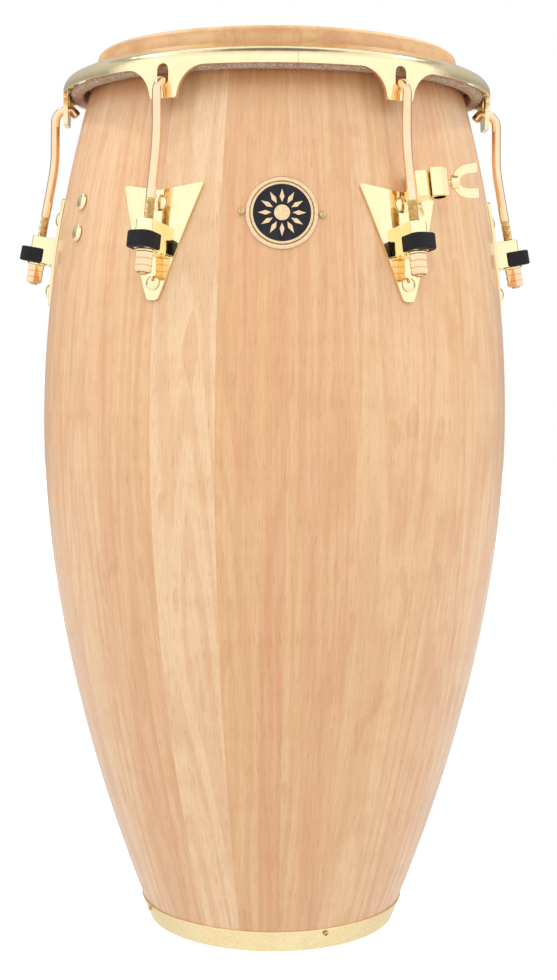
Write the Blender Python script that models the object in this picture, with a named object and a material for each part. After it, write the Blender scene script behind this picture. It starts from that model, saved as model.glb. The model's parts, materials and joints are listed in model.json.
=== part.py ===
"""A tumba, the largest of the conga drums, with a stave shell, a skin head, a rim and six tuning lugs.

Units are metres and +Z is up. The origin is the middle of the foot, on the floor.
The badge faces -Y. Angles round the drum are in degrees from -Y towards +X.
A lug is drawn in a plane of its own: out is the distance from the drum's axis,
side is the distance along the rim, and up is the height above the floor.
"""

import math

import bmesh
import bpy
from mathutils import Matrix, Vector

# Whole drum
HEIGHT = 0.762
GAP = 0.0003                    # between two pieces that touch
SEGMENTS = 46                   # two for each of the shell's 23 staves

# Shell: a barrel of glued staves
SHELL_TOP = HEIGHT - 0.0015
SHELL_BOTTOM = 0.002
SHELL_WALL = 0.0115
BELLY_HEIGHT = 0.443
BELLY_RADIUS = 0.2053
TOP_RADIUS = 0.15725
FOOT_RADIUS = 0.1073
UPPER_CURVE = 2.0               # how fast the shell narrows above the belly
LOWER_CURVE = 1.88              # and below it
BEARING_EDGE = 0.004            # rounding of the edge that carries the skin

# Head: the skin, and the hoop that its rim is tucked round
SKIN = 0.0012
COLLAR_END = 0.7365
HOOP_SECTION = (
    (0.1725, 0.7235), (0.179, 0.7238), (0.1832, 0.7258), (0.184, 0.7295),
    (0.183, 0.7332), (0.1805, 0.7345), (0.171, 0.7345), (0.17, 0.733),
)

# Rim: its section over the hoop, from the band up over the crown and back underneath
RIM_CROWN = (
    (0.1902, 0.7285), (0.1894, 0.7322), (0.1872, 0.7357), (0.1835, 0.7388), (0.177, 0.7425),
    (0.1702, 0.7455), (0.1686, 0.744), (0.1698, 0.7423), (0.1795, 0.7372), (0.1848, 0.733),
    (0.1862, 0.729),
)
RIM_OUTER = 0.1904
RIM_INNER = 0.1864
BAND_BOTTOM = 0.7256
EAR_BOTTOM = 0.7005
EAR_HALF = 0.0128
EAR_TAPER = 0.0005              # an ear is this much narrower at its foot, on each side
EAR_CORNER = 0.002
EAR_SHOULDER = 0.7035           # where an ear's side turns out into its flare
EAR_SLANT = 0.0025              # how far the side leans out below the flare's sweep
EAR_FLARE = 0.0365
SLOT_HALF = 0.0052
SLOT_LOW = 0.7157               # centres of the slot's two round ends
SLOT_HIGH = 0.7232

# Lugs. A thread's frame starts where the thread leaves the bottom of its bracket.
LUG_ANGLES = (30, 90, 150, 210, 270, 330)
THREAD_TILT = math.radians(10)
THREAD_OUT = 0.2139
THREAD_UP = 0.5785
ROD_RADIUS = 0.004
ROD_OUT = 0.1985
ROD_END = -0.02
HOOK_UP = 0.7156
HOOK_CORNER = 0.184
HOOK_TIP = (0.179, 0.7098)
HOOK_BENDS = (0.004, 0.0115, 0.15)
BRACKET_HEIGHT = 0.0235
BRACKET_HALF_WIDTH = 0.00775
BRACKET_FRONT = 0.0072          # from the thread's axis
BRACKET_BACK = 0.01555
BRACKET_WALL = 0.0028
BRACKET_CORNER = 0.003
RUBBER_HEIGHT = 0.0128
RUBBER_HALF_WIDTH = 0.0114
RUBBER_FRONT = 0.0155
RUBBER_BACK = 0.0045
RUBBER_CORNER = 0.0082
WASHER_RADIUS = 0.0085
WASHER_THICK = 0.0018
NUT_ACROSS_FLATS = 0.013
NUT_TOP = -0.0024
NUT_BOTTOM = -0.0184
NUT_CHAMFER = 0.0015
BORE_RADIUS = 0.0044            # of the nut and the washer

# Side plates, as heights on the shell
PLATE_TIP = 0.539
PLATE_SIDE_START = 0.541
PLATE_DIP = 0.6267
PLATE_TOP = 0.6325
PLATE_TIP_HALF = 0.005
PLATE_HALF = 0.037
PLATE_CORNER = 0.003
PLATE_THICK = 0.0025
PLATE_BOLTS = {"upper": 0.6165, "lower": 0.5527}

# Fasteners
BOLT_HOLE = 0.0033
BOLT_SHANK = 0.003
BOLT_END = -0.022               # room for a washer and nut inside the shell
BOLT_DOME = 0.0035
PLATE_BOLT_HEADS = {"upper": 0.0068, "lower": 0.006}
SIDE_BOLT_HEAD = 0.00725
SIDE_BOLT_ANGLE = -60
SIDE_BOLT_HEIGHTS = {"upper": 0.6243, "lower": 0.598}
PIN_HOLE = 0.0013
PIN_SHANK = 0.001
PIN_END = -0.0076
PIN_DOME = 0.0014

# Badge, and the band round the foot
BADGE_HEIGHT = 0.6075
BADGE_RADIUS = 0.0288
BADGE_THICK = 0.001
BADGE_TURN = math.radians(-1.9)
BADGE_PIN_OUT = 0.0316
BADGE_PIN_HEAD = 0.00275
BAND_HEIGHT = 0.0185
BAND_THICK = 0.002
BAND_LIP_INNER = 0.1025
BAND_LIP_THICK = 0.0017
BAND_SCREW_HEIGHT = 0.0152
BAND_SCREW_HEAD = 0.0023
BAND_SCREW_ANGLES = (22, 112, 202, 292)

# Accessory clamp beside the front right lug. X runs out along its screw, Z up its bore.
CLAMP_ANGLE = 33.6
CLAMP_UP = 0.631
CLAMP_OFF_SHELL = 0.0124
CLAMP_TURN = math.radians(32)   # of the screw, out from the shell's tangent
CLAMP_BASE_HALF_HEIGHT = 0.0105
CLAMP_BASE = ((-0.0076, 0.0035), (0.0022, 0.0096), (0.0096, -0.0022), (0.0105, -0.0092), (-0.0065, -0.0092))
CLAMP_BLOCK_HALF_HEIGHT = 0.0114
CLAMP_BLOCK = ((0.0074, 0.009), (0.0159, 0.009), (0.0217, 0.0045))
CLAMP_BORE_AT = 0.0144
CLAMP_BORE = 0.0051
CLAMP_SCREW = 0.003
CLAMP_SCREW_ENDS = (0.0198, 0.029)
CLAMP_PASSAGE = 0.0033
WING_BOSS = 0.0058
WING_BOSS_ENDS = (0.0245, 0.0305)
WING_HOLE_END = 0.0295
WING_SHAPE = (
    (0.0272, 0.0072), (0.03, 0.0105), (0.0355, 0.0133), (0.0455, 0.0145), (0.0466, 0.0125),
    (0.0462, 0.0062), (0.0385, 0.0058), (0.0345, 0.005), (0.0321, 0.0025),
)
WING_HALF_WIDTH = 0.0021
WING_TURN = math.radians(12)


def clear_scene():
    for leftover in list(bpy.data.objects):
        bpy.data.objects.remove(leftover, do_unlink=True)


def finish_material(name, colour, roughness, metallic):
    material = bpy.data.materials.new(name)
    material.use_nodes = True
    shader = material.node_tree.nodes["Principled BSDF"]
    shader.inputs["Base Color"].default_value = (*colour, 1)
    shader.inputs["Roughness"].default_value = roughness
    shader.inputs["Metallic"].default_value = metallic
    return material


def shell_radius(height):
    """Outer radius of the shell, widest at the belly and narrowing to both ends."""
    if height >= BELLY_HEIGHT:
        share = (height - BELLY_HEIGHT) / (SHELL_TOP - BELLY_HEIGHT)
        return BELLY_RADIUS - (BELLY_RADIUS - TOP_RADIUS) * share ** UPPER_CURVE
    share = (BELLY_HEIGHT - height) / BELLY_HEIGHT
    return BELLY_RADIUS - (BELLY_RADIUS - FOOT_RADIUS) * share ** LOWER_CURVE


def shell_lean(height):
    """Angle by which the shell's surface faces upwards at a height."""
    step = 0.001
    return math.atan((shell_radius(height - step) - shell_radius(height + step)) / (2 * step))


def lug_point(out, side, up):
    return Vector((side, -out, up))


def turn_about_drum(angle):
    return Matrix.Rotation(math.radians(angle), 4, "Z")


def shell_frame(angle, height):
    """A frame on the shell's surface: X along the shell, Y into it, Z up the stave."""
    place = Matrix.Translation(lug_point(shell_radius(height), 0, height))
    return turn_about_drum(angle) @ place @ Matrix.Rotation(-shell_lean(height), 4, "X")


def thread_frame():
    """The frame of a lug at angle 0: Z up the thread, -Y out of the drum, origin under the bracket."""
    place = Matrix.Translation(lug_point(THREAD_OUT, 0, THREAD_UP))
    return place @ Matrix.Rotation(-THREAD_TILT, 4, "X")


def on_shell(side, height, out):
    """A point above the shell at angle 0: side is measured along the shell, out from its surface."""
    lean = shell_lean(height)
    radius = shell_radius(height) + out * math.cos(lean)
    turn = side / shell_radius(height)
    return Vector((radius * math.sin(turn), -radius * math.cos(turn), height + out * math.sin(lean)))


def arc(centre, radius, start, end, steps):
    """Points of a round stretch of an outline, from one angle to another in degrees."""
    points = []
    for step in range(steps + 1):
        angle = math.radians(start + (end - start) * step / steps)
        points.append((centre[0] + radius * math.cos(angle), centre[1] + radius * math.sin(angle)))
    return points


def filleted(corners, radii, steps):
    """A path through corners, with each inner corner rounded to its radius."""
    path = [Vector(corners[0])]
    for before, corner, after, radius in zip(corners, corners[1:], corners[2:], radii):
        corner = Vector(corner)
        back = (Vector(before) - corner).normalized()
        ahead = (Vector(after) - corner).normalized()
        half = back.angle(ahead) / 2
        centre = corner + (back + ahead).normalized() * (radius / math.sin(half))
        start = corner + back * (radius / math.tan(half)) - centre
        end = corner + ahead * (radius / math.tan(half)) - centre
        sweep = start.angle(end)
        for step in range(steps + 1):
            share = step / steps
            near = math.sin((1 - share) * sweep) / math.sin(sweep)
            far = math.sin(share * sweep) / math.sin(sweep)
            path.append(centre + start * near + end * far)
    path.append(Vector(corners[-1]))
    return path


def closed_mesh(mesh):
    bmesh.ops.remove_doubles(mesh, verts=mesh.verts, dist=1e-6)
    bmesh.ops.recalc_face_normals(mesh, faces=mesh.faces)
    return mesh


def join_loops(mesh, first, second):
    """Faces between two rings of vertices, either of which may be a single vertex."""
    if len(first) == len(second) == 1:
        return
    count = max(len(first), len(second))
    for step in range(count):
        ahead = (step + 1) % count
        corners = [first[step % len(first)], first[ahead % len(first)]]
        corners += [second[ahead % len(second)], second[step % len(second)]]
        mesh.faces.new(list(dict.fromkeys(corners)))


def turned(outline, segments):
    """A solid turned about Z from (radius, height) points, closed or from axis to axis."""
    mesh = bmesh.new()
    rings = []
    for radius, height in outline:
        count = segments if radius > 0 else 1
        ring = []
        for step in range(count):
            angle = 2 * math.pi * step / segments
            ring.append(mesh.verts.new((radius * math.sin(angle), -radius * math.cos(angle), height)))
        rings.append(ring)
    for first, second in zip(rings, rings[1:] + rings[:1]):
        join_loops(mesh, first, second)
    return closed_mesh(mesh)


def prism(outline, low, high, frame=Matrix()):
    """A solid with a flat outline in X and Y, extruded along Z."""
    mesh = bmesh.new()
    bottom = [mesh.verts.new((x, y, low)) for x, y in outline]
    top = [mesh.verts.new((x, y, high)) for x, y in outline]
    mesh.faces.new(bottom)
    mesh.faces.new(top)
    join_loops(mesh, bottom, top)
    bmesh.ops.transform(mesh, matrix=frame, verts=mesh.verts)
    return closed_mesh(mesh)


def cylinder(radius, low, high, segments, frame=Matrix()):
    mesh = turned([(0, low), (radius, low), (radius, high), (0, high)], segments)
    bmesh.ops.transform(mesh, matrix=frame, verts=mesh.verts)
    return mesh


def sheet(columns, rows, inner, outer):
    """A plate that follows the shell, from (side, lowest height, highest height) columns."""
    mesh = bmesh.new()
    faces = []
    for out in (inner, outer):
        grid = []
        for side, low, high in columns:
            heights = [low + (high - low) * row / rows for row in range(rows + 1)]
            grid.append([mesh.verts.new(on_shell(side, height, out)) for height in heights])
        faces.append(grid)
    for grid in faces:
        for left, right in zip(grid, grid[1:]):
            for row in range(rows):
                mesh.faces.new((left[row], right[row], right[row + 1], left[row + 1]))
    borders = []
    for grid in faces:
        lower = [column[0] for column in grid]
        upper = [column[-1] for column in reversed(grid)]
        borders.append(lower + grid[-1][1:-1] + upper + grid[0][-2:0:-1])
    join_loops(mesh, borders[0], borders[1])
    return closed_mesh(mesh)


def mesh_data(name, mesh):
    data = bpy.data.meshes.new(name)
    mesh.to_mesh(data)
    mesh.free()
    return data


def carved(name, base, joined=(), cut=()):
    """The mesh of a solid after exact Booleans with other solids."""
    work = bpy.data.objects.new(name, mesh_data(name, base))
    bpy.context.scene.collection.objects.link(work)
    helpers = []
    for operation, solids in (("UNION", joined), ("DIFFERENCE", cut)):
        for solid in solids:
            helper = bpy.data.objects.new(name + "_helper", mesh_data(name + "_helper", solid))
            bpy.context.scene.collection.objects.link(helper)
            helpers.append(helper)
            boolean = work.modifiers.new(operation, "BOOLEAN")
            boolean.operation = operation
            boolean.object = helper
    bpy.context.view_layer.update()
    result = bpy.data.meshes.new_from_object(work.evaluated_get(bpy.context.evaluated_depsgraph_get()))
    for helper in helpers + [work]:
        bpy.data.objects.remove(helper, do_unlink=True)
    return result


def add_piece(name, data, material, parent=None, frame=Matrix()):
    if isinstance(data, bmesh.types.BMesh):
        data = mesh_data(name, data)
    data.materials.clear()
    data.materials.append(material)
    if isinstance(data, bpy.types.Mesh):
        data.shade_smooth()
        data.set_sharp_from_angle(angle=math.radians(35))
    piece = bpy.data.objects.new(name, data)
    bpy.context.scene.collection.objects.link(piece)
    piece.parent = parent
    piece.matrix_local = frame
    return piece


def add_empty(name, frame, parent=None):
    empty = bpy.data.objects.new(name, None)
    bpy.context.scene.collection.objects.link(empty)
    empty.parent = parent
    empty.matrix_local = frame
    return empty


def merged(solids):
    """Several loose solids as one, for use as a cutter."""
    whole = bmesh.new()
    for solid in solids:
        data = mesh_data("cutter", solid)
        whole.from_mesh(data)
        bpy.data.meshes.remove(data)
    return whole


# A bolt's own frame has Z out of the shell, with 0 on the shell's surface.
def bolt_frame(angle, height):
    return shell_frame(angle, height) @ Matrix.Rotation(math.radians(90), 4, "X")


def bolt_solid(head_radius, seat):
    """A domed bolt whose shank passes through the shell."""
    outline = [(0, seat + BOLT_DOME), (0.6 * head_radius, seat + 0.8 * BOLT_DOME)]
    outline += [(head_radius, seat + 0.2 * BOLT_DOME), (head_radius, seat), (BOLT_SHANK, seat)]
    outline += [(BOLT_SHANK, BOLT_END), (0, BOLT_END)]
    return turned(outline, 8)


def pin_solid(head_radius, seat):
    """A domed nail or screw, whose point is in the wood."""
    outline = [(0, seat + PIN_DOME), (0.6 * head_radius, seat + 0.8 * PIN_DOME)]
    outline += [(head_radius, seat + 0.2 * PIN_DOME), (head_radius, seat), (PIN_SHANK, seat)]
    outline += [(PIN_SHANK, 0.8 * PIN_END), (0, PIN_END)]
    return turned(outline, 8)


def badge_pin_frame(side):
    across = side * BADGE_PIN_OUT * math.cos(BADGE_TURN)
    up = side * BADGE_PIN_OUT * math.sin(BADGE_TURN)
    angle = math.degrees(across / shell_radius(BADGE_HEIGHT))
    return bolt_frame(angle, BADGE_HEIGHT + up)


def shell_holes():
    """Cutters for every bolt, nail and screw that goes into the shell."""
    bolts = [(SIDE_BOLT_ANGLE, height) for height in SIDE_BOLT_HEIGHTS.values()]
    bolts += [(angle, height) for angle in LUG_ANGLES for height in PLATE_BOLTS.values()]
    holes = [cylinder(BOLT_HOLE, BOLT_END, 0.01, 8, bolt_frame(*place)) for place in bolts]
    pins = [badge_pin_frame(side) for side in (-1, 1)]
    pins += [bolt_frame(angle, BAND_SCREW_HEIGHT) for angle in BAND_SCREW_ANGLES]
    holes += [cylinder(PIN_HOLE, PIN_END - GAP, 0.01, 8, frame) for frame in pins]
    return holes


def make_shell(material):
    """The barrel, drilled for its fasteners."""
    lower = [SHELL_BOTTOM + (BELLY_HEIGHT - SHELL_BOTTOM) * step / 7 for step in range(7)]
    edge_start = SHELL_TOP - BEARING_EDGE
    upper = [BELLY_HEIGHT + (edge_start - BELLY_HEIGHT) * step / 6 for step in range(6)]
    outside = [(shell_radius(height), height) for height in lower + upper]
    centre = (shell_radius(edge_start) - BEARING_EDGE, edge_start)
    edge = arc(centre, BEARING_EDGE, 0, 90, 3)
    inside = [SHELL_TOP - (SHELL_TOP - SHELL_BOTTOM) * step / 9 for step in range(10)]
    bore = [(shell_radius(height) - SHELL_WALL, height) for height in inside]
    barrel = turned(outside + edge + bore, SEGMENTS)
    add_piece("shell", carved("shell", barrel, cut=[merged(shell_holes())]), material)


def make_head(skin_material, hoop_material):
    """The skin over the bearing edge, and the hoop below that its rim is tucked round."""
    clear = GAP + SKIN
    edge_start = SHELL_TOP - BEARING_EDGE
    centre = (shell_radius(edge_start) - BEARING_EDGE, edge_start)
    outside = [(0, SHELL_TOP + clear)] + arc(centre, BEARING_EDGE + clear, 90, 0, 4)
    outside.append((shell_radius(COLLAR_END) + clear, COLLAR_END))
    inside = [(shell_radius(COLLAR_END) + GAP, COLLAR_END)]
    inside += arc(centre, BEARING_EDGE + GAP, 0, 90, 3) + [(0, SHELL_TOP + GAP)]
    add_piece("drum_head", turned(outside + inside, SEGMENTS), skin_material)
    add_piece("flesh_hoop", turned(HOOP_SECTION, SEGMENTS), hoop_material)


def ear_columns():
    """(side, lower edge) of one ear, from its middle to the end of its flare."""
    foot = EAR_HALF - EAR_TAPER
    columns = [(0, EAR_BOTTOM), (foot - EAR_CORNER, EAR_BOTTOM)]
    columns += [(foot - 0.3 * EAR_CORNER, EAR_BOTTOM + 0.3 * EAR_CORNER)]
    columns += [(foot, EAR_BOTTOM + EAR_CORNER), (EAR_HALF, EAR_SHOULDER)]
    for angle in (30, 60, 90):
        turn = math.radians(angle)
        sweep = (EAR_FLARE - EAR_HALF - EAR_SLANT) * (1 - math.cos(turn))
        side = EAR_HALF + EAR_SLANT * math.sin(turn) + sweep
        columns.append((side, EAR_SHOULDER + (BAND_BOTTOM - EAR_SHOULDER) * math.sin(turn)))
    return columns


def make_rim(material):
    """The rim with its six slotted ears, which hang from the band over the lugs."""
    half_ear = [(math.degrees(side / RIM_OUTER), low) for side, low in ear_columns()]
    end = half_ear[-1][0]
    plain = 4
    columns = []
    for angle in LUG_ANGLES:
        columns += [(angle - turn, low) for turn, low in reversed(half_ear[1:])]
        columns += [(angle + turn, low) for turn, low in half_ear]
        for step in range(1, plain):
            columns.append((angle + end + (60 - 2 * end) * step / plain, BAND_BOTTOM))
    mesh = bmesh.new()
    loops = []
    for angle, low in columns:
        outline = RIM_CROWN + ((RIM_INNER, low), (RIM_OUTER, low))
        turn = turn_about_drum(angle)
        loops.append([mesh.verts.new(turn @ lug_point(out, 0, up)) for out, up in outline])
    for first, second in zip(loops, loops[1:] + loops[:1]):
        join_loops(mesh, first, second)
    slot = arc((0, SLOT_LOW), SLOT_HALF, 180, 360, 6) + arc((0, SLOT_HIGH), SLOT_HALF, 0, 180, 6)
    standing = Matrix.Rotation(math.radians(90), 4, "X")
    slots = [prism(slot, 0.18, 0.2, turn_about_drum(angle) @ standing) for angle in LUG_ANGLES]
    add_piece("rim", carved("rim", closed_mesh(mesh), cut=[merged(slots)]), material)


def plate_columns():
    """(side, low, high) columns of a side plate: a shield with a rounded tip and a dipped top."""
    slope = (PLATE_TOP - PLATE_SIDE_START) / (PLATE_HALF - PLATE_TIP_HALF)
    rise = (PLATE_TOP - PLATE_DIP) / PLATE_HALF
    columns = []
    for share in (0, 0.5, 0.85, 1):
        low = PLATE_TIP + (PLATE_SIDE_START - PLATE_TIP) * share ** 2
        columns.append((share * PLATE_TIP_HALF, low, PLATE_DIP + rise * share * PLATE_TIP_HALF))
    corner = PLATE_HALF - 0.4 * PLATE_CORNER
    for side in (0.012, 0.02, 0.028, corner):
        low = PLATE_SIDE_START + slope * (side - PLATE_TIP_HALF)
        columns.append((side, low, PLATE_DIP + rise * side))
    side = PLATE_HALF - 0.1 * PLATE_CORNER
    columns.append((side, PLATE_TOP - 0.5 * PLATE_CORNER, PLATE_TOP - 0.2 * PLATE_CORNER))
    mirrored = [(-side, low, high) for side, low, high in reversed(columns[1:])]
    return mirrored + columns


def rounded_front(half_width, front, back, corner):
    """An outline that is square at the back and rounded in front, which is at -Y."""
    outline = [(-half_width, back)]
    outline += arc((corner - half_width, corner - front), corner, 180, 270, 3)
    outline += arc((half_width - corner, corner - front), corner, 270, 360, 3)
    return outline + [(half_width, back)]


def u_shape(outer, inner):
    """The outline of a block that is open at the back, from two such fronts."""
    return outer + inner[::-1]


def plate_mesh():
    """A side plate, drilled, with the U-shaped strap that is its bracket welded on."""
    plate = sheet(plate_columns(), 3, GAP, GAP + PLATE_THICK)
    outer = rounded_front(BRACKET_HALF_WIDTH, BRACKET_FRONT, BRACKET_BACK, BRACKET_CORNER)
    inner_half = BRACKET_HALF_WIDTH - BRACKET_WALL
    inner = rounded_front(inner_half, BRACKET_FRONT - BRACKET_WALL, BRACKET_BACK, 0.001)
    strap = prism(u_shape(outer, inner), 0, BRACKET_HEIGHT, thread_frame())
    holes = [cylinder(BOLT_HOLE, -0.01, 0.01, 8, bolt_frame(0, z)) for z in PLATE_BOLTS.values()]
    return carved("side_plate", plate, [strap], [merged(holes)])


def rubber_mesh():
    """The rubber block that is pushed on the bracket from outside."""
    outer = rounded_front(RUBBER_HALF_WIDTH, RUBBER_FRONT, RUBBER_BACK, RUBBER_CORNER)
    room_half = BRACKET_HALF_WIDTH + GAP
    room = rounded_front(room_half, BRACKET_FRONT + GAP, RUBBER_BACK, BRACKET_CORNER)
    return mesh_data("shell_protector", prism(u_shape(outer, room), 0, RUBBER_HEIGHT))


def nut_mesh():
    corner = NUT_ACROSS_FLATS / math.sqrt(3)
    outline = [(0, NUT_BOTTOM), (0.85 * corner, NUT_BOTTOM), (corner, NUT_BOTTOM + NUT_CHAMFER)]
    blank = turned(outline + [(corner, NUT_TOP), (0, NUT_TOP)], 6)
    return carved("tuning_nut", blank, cut=[cylinder(BORE_RADIUS, 2 * NUT_BOTTOM, -NUT_BOTTOM, 12)])


def washer_mesh():
    low = -GAP - WASHER_THICK
    ring = [(WASHER_RADIUS, low), (WASHER_RADIUS, -GAP), (BORE_RADIUS, -GAP), (BORE_RADIUS, low)]
    return mesh_data("washer", turned(ring, 12))


def rod_path():
    """The hooked rod's middle line in the thread's own frame, from the hook's tip down."""
    bend_up = THREAD_UP + (THREAD_OUT - ROD_OUT) / math.tan(THREAD_TILT)
    end_out = THREAD_OUT - ROD_END * math.sin(THREAD_TILT)
    end_up = THREAD_UP + ROD_END * math.cos(THREAD_TILT)
    corners = [HOOK_TIP, (HOOK_CORNER, HOOK_UP), (ROD_OUT, HOOK_UP), (ROD_OUT, bend_up)]
    path = filleted(corners + [(end_out, end_up)], HOOK_BENDS, 4)
    to_thread = thread_frame().inverted()
    return [to_thread @ lug_point(out, 0, up) for out, up in path]


def rod_data():
    data = bpy.data.curves.new("lug_rod", "CURVE")
    data.dimensions = "3D"
    data.bevel_depth = ROD_RADIUS
    data.bevel_resolution = 2
    data.use_fill_caps = True
    path = rod_path()
    line = data.splines.new("POLY")
    line.points.add(len(path) - 1)
    for point, place in zip(line.points, path):
        point.co = (*place, 1)
    return data


def make_lugs(gold, rubber):
    """Six lugs, each with its plate, rubber, washer, nut, rod and the plate's two bolts."""
    thread = thread_frame()
    plate = plate_mesh()
    plate.transform(thread.inverted())
    shared = {"side_plate": (plate, gold), "shell_protector": (rubber_mesh(), rubber)}
    shared["tuning_nut"] = (nut_mesh(), gold)
    shared["washer"] = (washer_mesh(), gold)
    shared["lug_rod"] = (rod_data(), gold)
    bolts = {
        name: mesh_data(f"{name}_plate_bolt", bolt_solid(radius, PLATE_THICK + 2 * GAP))
        for name, radius in PLATE_BOLT_HEADS.items()
    }
    for number, angle in enumerate(LUG_ANGLES, 1):
        lug = add_empty(f"lug_{number}", turn_about_drum(angle) @ thread)
        for name, (data, material) in shared.items():
            add_piece(f"{name}_{number}", data, material, lug)
        for name, height in PLATE_BOLTS.items():
            add_piece(f"{name}_plate_bolt_{number}", bolts[name], gold, frame=bolt_frame(angle, height))


def make_badge(enamel, gold):
    """A round badge bent to the shell, and the two nails at its edge."""
    columns = []
    for step in range(13):
        turn = math.radians(-80 + 160 * step / 12)
        half = BADGE_RADIUS * math.cos(turn)
        columns.append((BADGE_RADIUS * math.sin(turn), BADGE_HEIGHT - half, BADGE_HEIGHT + half))
    add_piece("badge", sheet(columns, 2, GAP, GAP + BADGE_THICK), enamel)
    for name, side in (("left", -1), ("right", 1)):
        pin = pin_solid(BADGE_PIN_HEAD, BADGE_THICK + 3 * GAP)
        add_piece(f"badge_nail_{name}", pin, gold, frame=badge_pin_frame(side))


def make_bottom_band(gold):
    """The metal band round the foot, with a lip turned in under the wood, and its four screws."""
    heights = [0, BAND_HEIGHT / 2, BAND_HEIGHT]
    outside = [(shell_radius(height) + GAP + BAND_THICK, height) for height in heights]
    inside = [(shell_radius(height) + GAP, height) for height in (BAND_HEIGHT, BAND_HEIGHT / 2)]
    inside.append((shell_radius(BAND_LIP_THICK) + GAP, BAND_LIP_THICK))
    lip = [(BAND_LIP_INNER, BAND_LIP_THICK), (BAND_LIP_INNER, 0)]
    band = turned(outside + inside + lip, SEGMENTS)
    frames = [bolt_frame(angle, BAND_SCREW_HEIGHT) for angle in BAND_SCREW_ANGLES]
    holes = [cylinder(PIN_HOLE, -0.002, 0.01, 8, frame) for frame in frames]
    add_piece("bottom_band", carved("bottom_band", band, cut=[merged(holes)]), gold)
    screw = mesh_data("band_screw", pin_solid(BAND_SCREW_HEAD, BAND_THICK + 3 * GAP))
    for number, frame in enumerate(frames, 1):
        add_piece(f"band_screw_{number}", screw, gold, frame=frame)


def make_side_bolts(gold):
    bolt = mesh_data("side_bolt", bolt_solid(SIDE_BOLT_HEAD, 2 * GAP))
    for name, height in SIDE_BOLT_HEIGHTS.items():
        add_piece(f"{name}_side_bolt", bolt, gold, frame=bolt_frame(SIDE_BOLT_ANGLE, height))


def clamp_foot_frame():
    """The clamp's anchor, off the shell: X along the shell, Y into it, Z up."""
    return shell_frame(CLAMP_ANGLE, CLAMP_UP) @ Matrix.Translation((0, -CLAMP_OFF_SHELL, 0))


def mirrored_outline(half):
    """A closed outline from its upper half, which runs along X."""
    return list(half) + [(x, -y) for x, y in reversed(half)]


def make_clamp(gold):
    """A base on the plate, a bored block, a screw that grips a rod in it, and the screw's wing."""
    foot = clamp_foot_frame()
    base = prism([(x, -y) for x, y in CLAMP_BASE], -CLAMP_BASE_HALF_HEIGHT, CLAMP_BASE_HALF_HEIGHT)
    add_piece("clamp_base", base, gold, frame=foot)
    clamp = add_empty("clamp_axis", foot @ Matrix.Rotation(-CLAMP_TURN, 4, "Z"))
    along = Matrix.Rotation(math.radians(90), 4, "Y")
    block = prism(mirrored_outline(CLAMP_BLOCK), -CLAMP_BLOCK_HALF_HEIGHT, CLAMP_BLOCK_HALF_HEIGHT)
    bore = cylinder(CLAMP_BORE, -0.02, 0.02, 16, Matrix.Translation((CLAMP_BORE_AT, 0, 0)))
    passage = cylinder(CLAMP_PASSAGE, CLAMP_BORE_AT, 0.03, 12, along)
    add_piece("clamp_block", carved("clamp_block", block, cut=[bore, passage]), gold, clamp)
    add_piece("clamp_stud", cylinder(CLAMP_SCREW, *CLAMP_SCREW_ENDS, 10, along), gold, clamp)
    facing = Matrix.Rotation(WING_TURN, 4, "X") @ Matrix.Rotation(math.radians(90), 4, "X")
    wing = prism(mirrored_outline(WING_SHAPE), -WING_HALF_WIDTH, WING_HALF_WIDTH, facing)
    boss = cylinder(WING_BOSS, *WING_BOSS_ENDS, 12, along)
    passage = cylinder(CLAMP_PASSAGE, 0.02, WING_HOLE_END, 12, along)
    add_piece("clamp_wing", carved("clamp_wing", wing, [boss], [passage]), gold, clamp)


def main():
    clear_scene()
    wood = finish_material("lacquered_wood", (0.84, 0.56, 0.34), 0.32, 0.0)
    gold = finish_material("gold_plate", (0.93, 0.78, 0.45), 0.16, 1.0)
    skin = finish_material("skin", (0.72, 0.38, 0.16), 0.38, 0.0)
    rawhide = finish_material("rawhide", (0.30, 0.24, 0.19), 0.75, 0.0)
    rubber = finish_material("black_rubber", (0.02, 0.02, 0.024), 0.55, 0.0)
    enamel = finish_material("badge_enamel", (0.02, 0.02, 0.02), 0.25, 0.0)
    brass = finish_material("band_brass", (0.80, 0.66, 0.38), 0.38, 1.0)
    make_shell(wood)
    make_head(skin, rawhide)
    make_rim(gold)
    make_lugs(gold, rubber)
    make_badge(enamel, gold)
    make_bottom_band(brass)
    make_side_bolts(gold)
    make_clamp(gold)


main()
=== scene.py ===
import json
import math
import random

import bmesh
import bpy
from mathutils import Matrix, Vector, noise

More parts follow.
